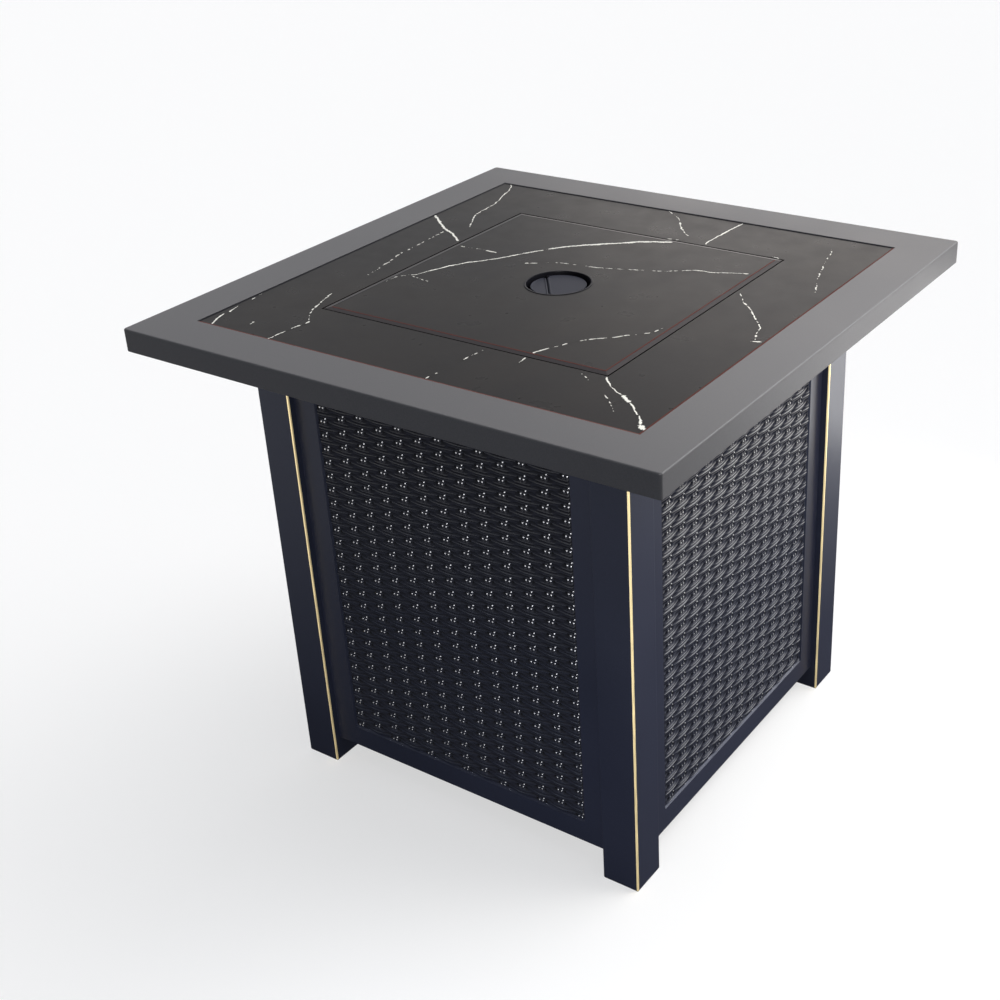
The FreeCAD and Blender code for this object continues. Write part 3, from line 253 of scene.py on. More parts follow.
@dataclass(frozen=True)
class WovenCoat:
    """Paint over a pressed wicker relief: painted shade in its pits and grooves, painted highlights on
    its crests, dust and painted light on its upward faces, and painted light higher up.

    The relief carries its tone at its vertices: below 0 in a pit, 0 in a groove and 1 on a crest.
    """

    name: str
    groove: Colour
    strand: Colour
    painted_top_light: Colour
    crest: Colour
    dust: Colour
    top_light_from: float = 260 * MM
    top_light_to: float = 470 * MM
    roughness: float = 0.3
    specular: float = 0.07

    def build(self) -> bpy.types.Material:
        """Make the finish.

        Returns:
            Its material.
        """
        sheet = ShaderSheet(self.name)
        tone = sheet.attribute("tone").outputs["Fac"]
        # Pits go near black and grooves stay dark: painted shade.
        pitted = sheet.mix(sheet.span(tone, -0.5, 0.1), shade(self.groove, 0.1), self.groove)
        # Strands go lighter higher up the panel: painted light.
        top_light_share = sheet.span(sheet.part("Position", 2), self.top_light_from, self.top_light_to)
        strand = sheet.mix(top_light_share, self.strand, self.painted_top_light)
        painted = sheet.mix(sheet.span(tone, 0.25, 0.55), pitted, strand)
        # Crests go pale: painted highlights, where gloss would catch the light.
        painted_highlight = sheet.mix(sheet.span(tone, 0.7, 0.97), painted, self.crest)
        # Upward faces of the strands go paler: dust and painted light from above.
        level = sheet.span(sheet.part("Normal", 2), 0.15, 0.8, 0.0, 0.6)
        upward_light_share = sheet.maths("MULTIPLY", level, sheet.span(tone, 0.3, 0.9))
        dust_and_top_light = sheet.mix(upward_light_share, painted_highlight, self.dust)
        grain = sheet.span(sheet.noise(0.0012, 2.0, (5.0, 5.0, 1.0)), 0.3, 0.7, 0.85, 1.12)
        toned = sheet.node("VectorMath", {0: dust_and_top_light, 1: grain}, operation="MULTIPLY").outputs[0]
        sheet.set(
            Base_Color=toned,
            Roughness=sheet.span(tone, -0.4, 0.8, 1.0, self.roughness),
            Specular_IOR_Level=self.specular,
            Normal=sheet.bump(sheet.noise(0.0008, 1.0, (4.0, 4.0, 1.0)), 0.00002),
        )
        return sheet.material


def marble_ground(sheet: ShaderSheet, colour: Colour, warm: Colour) -> bpy.types.NodeSocket:
    """Dark marble with warm clouds and a fine pale grain.

    Args:
        sheet: the material's sheet.
        colour: the stone's colour.
        warm: the colour of its clouds.

    Returns:
        The colour output.
    """
    cloud = sheet.span(sheet.noise(0.11, 4.0, (1.0, 1.7, 1.0)), 0.42, 0.72)
    grain = sheet.span(sheet.noise(0.003, 2.0), 0.2, 0.8, 0.16, 0.4)
    return sheet.mix(grain, sheet.mix(cloud, colour, warm), shade(warm, 1.7))


@dataclass(frozen=True)
class MarblePrint:
    """Dark marble print under clear gloss, with a warm cloud here and there."""

    name: str
    colour: Colour
    warm: Colour
    roughness: float = 0.3

    def build(self) -> bpy.types.Material:
        """Make the finish.

        Returns:
            Its material.
        """
        sheet = ShaderSheet(self.name)
        haze = sheet.noise(0.03, 3.0)
        sheet.set(
            Base_Color=marble_ground(sheet, self.colour, self.warm),
            Roughness=sheet.span(haze, 0.3, 0.7, self.roughness - 0.03, self.roughness + 0.05),
            Specular_IOR_Level=PRINT_SPECULAR,
            Normal=sheet.bump(sheet.noise(0.006, 1.0), 0.000008),
        )
        return sheet.material


@dataclass(frozen=True)
class VeinInk:
    """White marble vein with ragged edges, breaking up where it is faint."""

    name: str
    ink: Colour
    ground: Colour
    warm: Colour
    gap_share: float = 2.4

    def build(self) -> bpy.types.Material:
        """Make the finish.

        Returns:
            Its material.
        """
        sheet = ShaderSheet(self.name)
        parts = sheet.node("SeparateColor", {0: sheet.attribute("vein").outputs["Color"]})
        core, strength = parts.outputs[0], parts.outputs[1]
        ragged = sheet.span(sheet.noise(0.0022, 3.0), 0.3, 0.7, -0.28, 0.28)
        broken = sheet.span(sheet.noise(0.0065, 2.0), 0.35, 0.65, -0.8, 0.36)
        faint = sheet.maths("SUBTRACT", 1.0, strength)
        gaps = sheet.maths("MULTIPLY", sheet.maths("MULTIPLY", broken, faint), self.gap_share)
        edge = sheet.maths("ADD", sheet.maths("ADD", core, ragged), gaps)
        shown = sheet.span(edge, 0.42, 0.62)
        level = sheet.maths("MULTIPLY", shown, sheet.span(strength, 0.0, 0.8, 0.75, 1.0))
        sheet.set(
            Base_Color=sheet.mix(level, marble_ground(sheet, self.ground, self.warm), self.ink),
            Roughness=sheet.span(sheet.noise(0.03, 3.0), 0.3, 0.7, 0.27, 0.35),
            Specular_IOR_Level=PRINT_SPECULAR,
        )
        return sheet.material


@dataclass(frozen=True)
class Metal:
    """Bare metal with fine drawing or brushing lines."""

    name: str
    colour: Colour
    roughness: float
    stretch: Place = (30.0, 1.0, 1.0)
    stain: float = 0.12

    def build(self) -> bpy.types.Material:
        """Make the finish.

        Returns:
            Its material.
        """
        sheet = ShaderSheet(self.name)
        lines = sheet.noise(0.0006, 2.0, self.stretch)
        cloud = sheet.span(sheet.noise(0.05, 3.0), 0.3, 0.7)
        sheet.set(
            Base_Color=sheet.mix(cloud, shade(self.colour, 1 - self.stain), self.colour),
            Metallic=1.0,
            Roughness=sheet.span(lines, 0.3, 0.7, self.roughness - 0.06, self.roughness + 0.1),
            Normal=sheet.bump(lines, 0.000008),
        )
        return sheet.material


@dataclass(frozen=True)
class Galvanised:
    """Zinc-coated sheet with its crystal spangle."""

    name: str
    colour: Colour

    def build(self) -> bpy.types.Material:
        """Make the finish.

        Returns:
            Its material.
        """
        sheet = ShaderSheet(self.name)
        spangle = sheet.cells(0.012)
        sheet.set(
            Base_Color=sheet.mix(spangle, shade(self.colour, 0.75), self.colour),
            Metallic=0.85,
            Roughness=sheet.span(spangle, 0.0, 1.0, 0.36, 0.55),
            Normal=sheet.bump(sheet.noise(0.003, 2.0), 0.00002),
        )
        return sheet.material


@dataclass(frozen=True)
class Moulded:
    """Moulded plastic, rubber or glazed ceramic with a fine skin texture."""

    name: str
    colour: Colour
    roughness: float
    grain: float = 0.0007
    depth: float = 0.00002

    def build(self) -> bpy.types.Material:
        """Make the finish.

        Returns:
            Its material.
        """
        sheet = ShaderSheet(self.name)
        skin = sheet.noise(self.grain, 2.0)
        tone = sheet.span(sheet.noise(0.02, 2.0), 0.3, 0.7)
        sheet.set(
            Base_Color=sheet.mix(tone, shade(self.colour, 0.88), shade(self.colour, 1.1)),
            Roughness=sheet.span(skin, 0.3, 0.7, self.roughness - 0.05, self.roughness + 0.05),
            Normal=sheet.bump(skin, self.depth),
        )
        return sheet.material


@dataclass(frozen=True)
class RoughCast:
    """Cast iron or lava stone: pitted, matt, with lighter dust on it."""

    name: str
    colour: Colour
    dust: Colour
    pit_size: float
    pit_depth: float
    roughness: float = 0.85

    def build(self) -> bpy.types.Material:
        """Make the finish.

        Returns:
            Its material.
        """
        sheet = ShaderSheet(self.name)
        pits = sheet.span(sheet.noise(self.pit_size, 4.0), 0.38, 0.62)
        patches = sheet.span(sheet.noise(self.pit_size * 9, 3.0), 0.4, 0.7)
        base = sheet.mix(patches, self.colour, self.dust)
        sheet.set(
            Base_Color=sheet.mix(pits, shade(self.colour, 0.4), base),
            Roughness=self.roughness,
            Specular_IOR_Level=0.08,
            Normal=sheet.bump(pits, self.pit_depth),
        )
        return sheet.material


@dataclass(frozen=True)
class Finishes:
    """Every finish on the table, made once."""

    frame: bpy.types.Material
    lid: bpy.types.Material
    body: bpy.types.Material
    weave: bpy.types.Material
    weave_worn: bpy.types.Material
    marble: bpy.types.Material
    vein: bpy.types.Material
    sealant: bpy.types.Material
    handle: bpy.types.Material
    well: bpy.types.Material
    gold: bpy.types.Material
    galvanised: bpy.types.Material
    stainless: bpy.types.Material
    pull: bpy.types.Material
    brass: bpy.types.Material
    tube: bpy.types.Material
    iron: bpy.types.Material
    lava: bpy.types.Material
    plastic: bpy.types.Material
    knob: bpy.types.Material
    mark: bpy.types.Material
    button: bpy.types.Material
    rubber: bpy.types.Material
    ceramic: bpy.types.Material

    @classmethod
    def make(cls) -> "Finishes":
        """Build every finish.

        Returns:
            The finishes.
        """
        navy: Colour = (0.027, 0.031, 0.056)
        marble: Colour = (0.011, 0.0108, 0.0122)
        warm: Colour = (0.017, 0.0152, 0.0148)
        # Weave colours: the groove colour is painted shade, the crest colour painted highlights, the colour
        # that strands take higher up painted light, and the dust colour dust with painted light on upward
        # faces.
        groove: Colour = (0.019, 0.021, 0.034)
        strand: Colour = (0.034, 0.039, 0.061)
        painted_top_light: Colour = (0.12, 0.117, 0.121)
        crest: Colour = (0.62, 0.62, 0.63)
        dust: Colour = (0.24, 0.24, 0.245)
        iron_dust: Colour = (0.05, 0.046, 0.042)
        return cls(
            frame=PowderCoat("frame_paint", (0.1, 0.099, 0.104), 0.42, 0.12).build(),
            lid=PowderCoat("lid_paint", (0.034, 0.03, 0.032), 0.35, 0.06, painted_side_shade=True).build(),
            body=PowderCoat("body_paint", navy, 0.36, 0.27, (0.86, 0.9, 1.0)).build(),
            weave=WovenCoat("weave_paint", groove, strand, painted_top_light, crest, dust).build(),
            # Bright metal for the weave's nubs, which stand in for glints.
            weave_worn=Metal("glint_nub_metal", (0.64, 0.64, 0.66), 0.3, (1.0, 1.0, 1.0)).build(),
            marble=MarblePrint("marble_print", marble, warm).build(),
            vein=VeinInk("vein_print", (0.82, 0.81, 0.74), marble, warm).build(),
            sealant=PowderCoat("brown_sealant", (0.085, 0.02, 0.015), 0.6, 0.04).build(),
            handle=PowderCoat("handle_paint", (0.028, 0.03, 0.041), 0.42, 0.03).build(),
            well=PowderCoat("well_paint", (0.008, 0.008, 0.011), 0.32, 0.035).build(),
            gold=Metal("gold_strip", (1.0, 0.83, 0.48), 0.5, (1.0, 1.0, 40.0), 0.04).build(),
            galvanised=Galvanised("zinc_coat", (0.33, 0.345, 0.36)).build(),
            stainless=Metal("brushed_stainless", (0.3, 0.297, 0.293), 0.45).build(),
            pull=Metal("pull_steel", (0.42, 0.42, 0.44), 0.3, (1.0, 1.0, 20.0)).build(),
            brass=Metal("valve_brass", (0.78, 0.58, 0.28), 0.28, (1.0, 12.0, 1.0)).build(),
            tube=Metal("tube_aluminium", (0.72, 0.72, 0.74), 0.35, (1.0, 1.0, 20.0)).build(),
            iron=RoughCast("cast_iron", (0.028, 0.028, 0.03), iron_dust, 0.0009, 0.0001, 0.6).build(),
            lava=RoughCast("lava_stone", (0.12, 0.055, 0.042), (0.23, 0.14, 0.11), 0.0028, 0.0006).build(),
            plastic=Moulded("black_plastic", (0.022, 0.022, 0.023), 0.5).build(),
            knob=Moulded("knob_plastic", (0.03, 0.03, 0.032), 0.42).build(),
            mark=Moulded("white_mark", (0.8, 0.8, 0.78), 0.5).build(),
            button=Moulded("button_plastic", (0.42, 0.025, 0.018), 0.25, 0.002, 0.00001).build(),
            rubber=Moulded("pad_rubber", (0.03, 0.03, 0.03), 0.8, 0.0009, 0.00005).build(),
            ceramic=Moulded("glazed_ceramic", (0.8, 0.78, 0.72), 0.2, 0.003, 0.00001).build(),
        )


# ---------------------------------------------------------------- mesh helpers


def add_object(name: str, data: bpy.types.ID) -> bpy.types.Object:
    """Make an object of a mesh, a lamp or a camera, and link it into the scene.

    Args:
        name: the object's name.
        data: what it shows.

    Returns:
        The object.
    """
    made = bpy.data.objects.new(name, data)
    bpy.context.scene.collection.objects.link(made)
    return made


def mesh_object(
    name: str,
    points: Sequence[Vector],
    faces: Sequence[Sequence[int]],
    material: bpy.types.Material,
    sharp_degrees: float = 38.0,
) -> bpy.types.Object:
    """Make an object from points and faces, with its normals outward and its sharp edges kept.

    Args:
        name: the piece's name.
        points: vertex places in metres.
        faces: vertex numbers of each face.
        material: the finish.
        sharp_degrees: edges that turn more than this stay sharp.

    Returns:
        The new object, linked into the scene.
    """
    mesh = bpy.data.meshes.new(name)
    mesh.from_pydata([tuple(p) for p in points], [], [tuple(f) for f in faces])
    shell = bmesh.new()
    shell.from_mesh(mesh)
    bmesh.ops.remove_doubles(shell, verts=shell.verts, dist=1e-7)
    bmesh.ops.recalc_face_normals(shell, faces=shell.faces)
    shell.to_mesh(mesh)
    shell.free()
    mesh.shade_smooth()
    mesh.set_sharp_from_angle(angle=math.radians(sharp_degrees))
    mesh.materials.append(material)
    return add_object(name, mesh)


def keep_flats_flat(piece: bpy.types.Object) -> None:
    """Let large faces lead the shading, so that small rounded edges don't tint them."""
    weighted = piece.modifiers.new("weighted", "WEIGHTED_NORMAL")
    weighted.keep_sharp = True


def arc_points(before: Point, corner: Point, after: Point, radius: float, steps: int) -> list[Point]:
    """Round one corner of an outline.

    Args:
        before: the point before the corner.
        corner: the corner.
        after: the point after it.
        radius: radius of the rounding; 0 keeps the corner.
        steps: facets of the arc.

    Returns:
        The points that stand for the corner.
    """
    if radius <= 0:
        return [corner]
    here = np.array(corner)
    back = np.array(before) - here
    ahead = np.array(after) - here
    back /= np.linalg.norm(back)
    ahead /= np.linalg.norm(ahead)
    half = math.acos(float(np.clip(back @ ahead, -1.0, 1.0))) / 2
    reach = radius / math.tan(half)
    start, end = here + back * reach, here + ahead * reach
    middle = here + (back + ahead) / np.linalg.norm(back + ahead) * (radius / math.sin(half))
    first = math.atan2(*(start - middle)[::-1])
    turn = math.atan2(*(end - middle)[::-1]) - first
    turn = (turn + math.pi) % (2 * math.pi) - math.pi
    angles = [first + turn * i / steps for i in range(steps + 1)]
    return [(middle[0] + radius * math.cos(a), middle[1] + radius * math.sin(a)) for a in angles]


def rounded(outline: Sequence[Place], steps: int = 3) -> list[Point]:
    """Round each corner of a closed outline by its own radius.

    Args:
        outline: corners as (x, y, radius).
        steps: facets of each arc.

    Returns:
        The points of the rounded outline.
    """
    count = len(outline)
    points: list[Point] = []
    for i, (x, y, radius) in enumerate(outline):
        before = outline[i - 1][:2]
        after = outline[(i + 1) % count][:2]
        points += arc_points(before, (x, y), after, radius, steps)
    return points


def inset_outline(outline: Sequence[Point], distance: float) -> list[Point]:
    """Move every edge of a closed outline inward.

    Args:
        outline: its corners, either way round.
        distance: how far each edge moves.

    Returns:
        The corners of the smaller outline.
    """
    count = len(outline)
    edges = [(here, outline[(i + 1) % count]) for i, here in enumerate(outline)]
    way = math.copysign(1.0, sum(here[0] * there[1] - there[0] * here[1] for here, there in edges))
    corners = []
    for i, here in enumerate(outline):
        before, after = outline[i - 1], outline[(i + 1) % count]
        first = np.array((before[1] - here[1], here[0] - before[0])) * way
        second = np.array((here[1] - after[1], after[0] - here[0])) * way
        first /= np.linalg.norm(first)
        second /= np.linalg.norm(second)
        step = (first + second) / (1 + float(first @ second)) * distance
        corners.append((here[0] + step[0], here[1] + step[1]))
    return corners


def square_loop(half: float, height: float, radius: float, steps: int = 5) -> Loop:
    """A square with rounded corners at one height, centred on the axis.

    Args:
        half: half its width.
        height: where it lies.
        radius: radius of its corners.
        steps: facets of each corner.

    Returns:
        Its points.
    """
    loop: Loop = []
    radius = max(radius, 1e-5)
    for quarter, (sx, sy) in enumerate(((1, 1), (-1, 1), (-1, -1), (1, -1))):
        for i in range(steps + 1):
            angle = math.pi / 2 * (quarter + i / steps)
            loop.append(Vector((
                sx * (half - radius) + radius * math.cos(angle),
                sy * (half - radius) + radius * math.sin(angle),
                height,
            )))
    return loop


def bridge(loops: Sequence[Loop], closed: bool, capped: bool = False) -> Skin:
    """Join loops of equal length into a skin.

    Args:
        loops: the loops in order.
        closed: True if the last loop joins the first.
        capped: True to close the first and the last loop with a face each.

    Returns:
        The points and the faces.
    """
    size = len(loops[0])
    points = [p for loop in loops for p in loop]
    faces: list[list[int]] = []
    for row in range(len(loops) if closed else len(loops) - 1):
        here, there = row * size, (row + 1) % len(loops) * size
        for i in range(size):
            j = (i + 1) % size
            faces.append([here + i, here + j, there + j, there + i])
    if capped:
        faces.append(list(range(size)))
        faces.append([(len(loops) - 1) * size + i for i in range(size)])
    return points, faces


def joined(skins: Iterable[Skin]) -> Skin:
    """Several skins as one.

    Args:
        skins: the skins in order.

    Returns:
        The points and the faces of them all.
    """
    points: list[Vector] = []
    faces: list[list[int]] = []
    for some, skin in skins:
        faces += [[i + len(points) for i in face] for face in skin]
        points += some
    return points, faces


def square_section(
    name: str,
    outline: Sequence[Place],
    material: bpy.types.Material,
    corner: Callable[[float], float],
) -> bpy.types.Object:
    """Sweep a closed section round a square.

    Args:
        name: the piece's name.
        outline: corners of the section as (half width, height, rounding).
        material: the finish.
        corner: plan radius of the square's corners for a half width.

    Returns:
        The piece.
    """
    loops = [square_loop(half, height, corner(half)) for half, height in rounded(outline)]
    piece = mesh_object(name, *bridge(loops, closed=True), material)
    keep_flats_flat(piece)
    return piece


def shade_far_sides(piece: bpy.types.Object, material: bpy.types.Material) -> None:
    """Give the left and rear sides of a square bead, where it sits in shade, a darker finish.

    Args:
        piece: the bead.
        material: the darker finish.
    """
    mesh = piece.data
    mesh.materials.append(material)
    for face in mesh.polygons:
        if face.center.x < face.center.y:
            face.material_index = 1


def turned(
    name: str, outline: Sequence[Point], material: bpy.types.Material, segments: int = 96
) -> bpy.types.Object:
    """Turn a closed section round the Z axis.

    Args:
        name: the piece's name.
        outline: corners of the section as (radius, height).
        material: the finish.
        segments: facets round the axis.

    Returns:
        The piece.
    """
    angles = [2 * math.pi * i / segments for i in range(segments)]
    loops = [
        [Vector((radius * math.cos(a), radius * math.sin(a), height)) for a in angles]
        for radius, height in outline
    ]
    return mesh_object(name, *bridge(loops, closed=True), material)


def prism(
    name: str, outline: Sequence[Point], low: float, high: float, material: bpy.types.Material
) -> bpy.types.Object:
    """Upright solid over a closed plan outline.

    Args:
        name: the piece's name.
        outline: the plan's corners.
        low: height of its foot.
        high: height of its head.
        material: the finish.

    Returns:
        The piece.
    """
    loops = [[Vector((x, y, z)) for x, y in outline] for z in (low, high)]
    piece = mesh_object(name, *bridge(loops, closed=False, capped=True), material)
    keep_flats_flat(piece)
    return piece


def dress(nodes: Iterable[str], material: bpy.types.Material) -> None:
    """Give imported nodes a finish.

    Args:
        nodes: the nodes' names.
        material: the finish.
    """
    for name in nodes:
        mesh = frame["nodes"][name].data
        mesh.materials.clear()
        mesh.materials.append(material)
        LOG.info("dressed %s in %s", name, material.name)


def settle(piece: bpy.types.Object, body: Body, stands_for: Sequence[str] = ()) -> None:
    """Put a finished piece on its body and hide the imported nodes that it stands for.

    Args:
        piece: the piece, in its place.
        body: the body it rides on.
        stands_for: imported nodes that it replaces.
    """
    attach(piece, body.value)
    if stands_for:
        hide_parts(*stands_for)
    LOG.info("built %s on %s", piece.name, body.value)


# ---------------------------------------------------------------- tabletop


@dataclass(frozen=True)
class TableTop:
    """Painted steel border with its skirt, the printed tile in it and the bead round the tile."""

    half: float = 355 * MM
    opening: float = 296.5 * MM
    top: float = 620 * MM
    skirt: float = 28 * MM
    sheet: float = 2 * MM
    inner_fold: float = 8 * MM
    lip: float = 15 * MM
    corner_radius: float = 3.5 * MM
    opening_radius: float = 0.4 * MM
    edge_radius: float = 1.2 * MM
    brow_radius: float = 1.9 * MM
    tile_edge: float = 295.7 * MM
    tile_top: float = 619 * MM

    def plan_radius(self, half: float) -> float:
        """Corner radius in plan, so that the sheet keeps its thickness round the corner.

        Args:
            half: half width of a line of the section.

        Returns:
            The radius: small at the opening, full at the rim.
        """
        if half < self.half - self.lip - self.sheet:
            return self.opening_radius
        return max(self.corner_radius - (self.half - half), self.edge_radius)

    def build_border(self, finishes: Finishes) -> None:
        """Folded sheet: inner fold, flat border, rounded rim, skirt and its inward lip.

        Args:
            finishes: the finishes.
        """
        low, under = self.top - self.skirt, self.top - self.sheet
        inner, edge = 0.6 * MM, self.edge_radius
        outline = (
            (self.opening, self.top - self.inner_fold, 0.0),
            (self.opening, self.top, 0.5 * MM),
            (self.half, self.top, self.brow_radius),
            (self.half, low, edge),
            (self.half - self.lip, low, 0.0),
            (self.half - self.lip, low + self.sheet, 0.0),
            (self.half - self.sheet, low + self.sheet, inner),
            (self.half - self.sheet, under, inner),
            (self.opening + self.sheet, under, 0.0),
            (self.opening + self.sheet, self.top - self.inner_fold, 0.0),
        )
        piece = square_section("border_frame", outline, finishes.frame, self.plan_radius)
        settle(piece, Body.TABLE, ("tabletop_frame", "tabletop_skirt"))

    def build_bead(self, finishes: Finishes) -> None:
        """Thin bead of sealant between the tile and the border.

        Args:
            finishes: the finishes.
        """
        low, foot = self.tile_top - 1.6 * MM, self.tile_top + 0.03 * MM
        outline = (
            (self.tile_edge + SLIVER, low, 0.0),
            (self.opening - SLIVER, low, 0.0),
            (self.opening - SLIVER, self.tile_top + 0.75 * MM, 0.0),
            (self.opening - 0.45 * MM, self.tile_top + 0.6 * MM, 0.0),
            (self.tile_edge - 2.0 * MM, foot, 0.0),
            (self.tile_edge + SLIVER, foot, 0.0),
        )
        piece = square_section("tile_bead", outline, finishes.sealant, lambda half: BEAD_CORNER)
        shade_far_sides(piece, finishes.well)
        settle(piece, Body.TABLE)

    def build(self, finishes: Finishes) -> None:
        """Build the border and dress the tile and what carries it.

        Args:
            finishes: the finishes.
        """
        self.build_border(finishes)
        self.build_bead(finishes)
        dress(("tile_ring",), finishes.marble)
        dress(("support_plate", "lid_seat"), finishes.galvanised)


# ---------------------------------------------------------------- marble veins


@dataclass(frozen=True)
class Vein:
    """One vein of the marble print: the places on the top that it curves through, its width and strength.

    Places and widths are in millimetres. A strength of 1 is an unbroken vein.
    """

    points: tuple[Point, ...]
    width: float
    strength: float
    end_width: Optional[float] = None


VEINS = (
    Vein(((-301, 141), (-275, 119), (-247, 97), (-225, 85), (-200, 65)), 5.0, 1.0, 3.5),
    Vein(((-198, 64), (-185, 50), (-150, 52), (-127, 51)), 2.2, 0.35),
    Vein(((-242, 92), (-240, 60), (-238, 15), (-236, -10), (-231, -30), (-227, -55), (-222, -85)), 2.0, 0.3),
    Vein(((-290, 302), (-280, 290), (-270, 270), (-264, 247), (-258, 232), (-251, 207), (-249, 175),
          (-244, 157), (-235, 140), (-221, 116)), 2.4, 0.8),
    Vein(((55, 195), (35, 182), (10, 170), (-15, 150), (-45, 127), (-67, 107), (-80, 90)), 7.0, 1.0, 4.6),
    Vein(((-80, 90), (-100, 60), (-115, 35), (-135, 10), (-150, -12), (-160, -35), (-167, -55), (-177, -65)),
         4.2, 0.85, 2.8),
    Vein(((27, 197), (52, 202)), 2.0, 0.5),
    Vein(((-172, -64), (-155, -68), (-137, -71)), 1.8, 0.5),
    Vein(((-177, -65), (-185, -75), (-187, -105)), 1.6, 0.45),
    Vein(((-25, 295), (-10, 285), (7, 270), (22, 247), (40, 227), (50, 220)), 2.2, 0.7),
    Vein(((88, 295), (85, 260), (84, 237), (83, 210), (86, 201)), 3.0, 0.95),
    Vein(((-77, 34), (-60, 45), (-40, 57), (-17, 61), (12, 65), (40, 74), (65, 83), (90, 92), (105, 102)),
         2.0, 0.55),
    Vein(((105, 102), (122, 112), (145, 116), (165, 125), (185, 132)), 2.6, 0.85),
    Vein(((231, 257), (237, 240), (242, 217), (257, 167), (277, 116)), 1.6, 0.3),
    Vein(((202, 75), (220, 50), (235, 37), (255, 12), (271, -7), (276, -25), (282, -40)), 2.0, 0.65),
    Vein(((277, -47), (294, -41)), 2.0, 0.6),
    Vein(((182, -57), (175, -80), (155, -100), (145, -112), (132, -122), (117, -140), (110, -155),
          (102, -170), (95, -187), (95, -200), (96, -222)), 1.7, 0.35),
    Vein(((42, -200), (41, -220), (39, -240)), 1.8, 0.45),
    Vein(((36, -275), (35, -296)), 1.8, 0.5),
    Vein(((195, -198), (203, -207), (213, -217)), 2.9, 1.0, 2.3),
    Vein(((212, -216), (224, -224), (234, -229)), 1.8, 0.95),
    Vein(((233, -228), (243, -235), (253, -242)), 7.2, 1.0, 3.6),
    Vein(((249, -239), (256, -245), (264, -253), (273, -261)), 2.3, 1.0, 2.8),
    Vein(((271, -259), (278, -266), (282, -272), (289, -281)), 2.8, 1.0, 4.0),
    Vein(((284, -276), (290, -282), (294, -284), (302, -284)), 6.8, 1.0, 6.8),
    Vein(((162, -200), (185, -214)), 1.6, 0.3),
    Vein(((217, -235), (232, -249), (247, -265)), 1.2, 0.3),
    Vein(((-295, -187), (-290, -215)), 1.8, 0.4),
    Vein(((-291, -235), (-288, -246), (-285, -257)), 2.0, 0.6),
    Vein(((-287, -262), (-282, -280), (-274, -295)), 3.2, 1.0),
    Vein(((-220, -152), (-210, -185), (-200, -210), (-190, -225), (-181, -237), (-184, -255), (-186, -275),
          (-187, -295)), 1.9, 0.45),
    Vein(((-237, -265), (-235, -275)), 2.0, 0.5),
    Vein(((177, 200), (187, 198), (196, 195)), 2.6, 0.9),
)


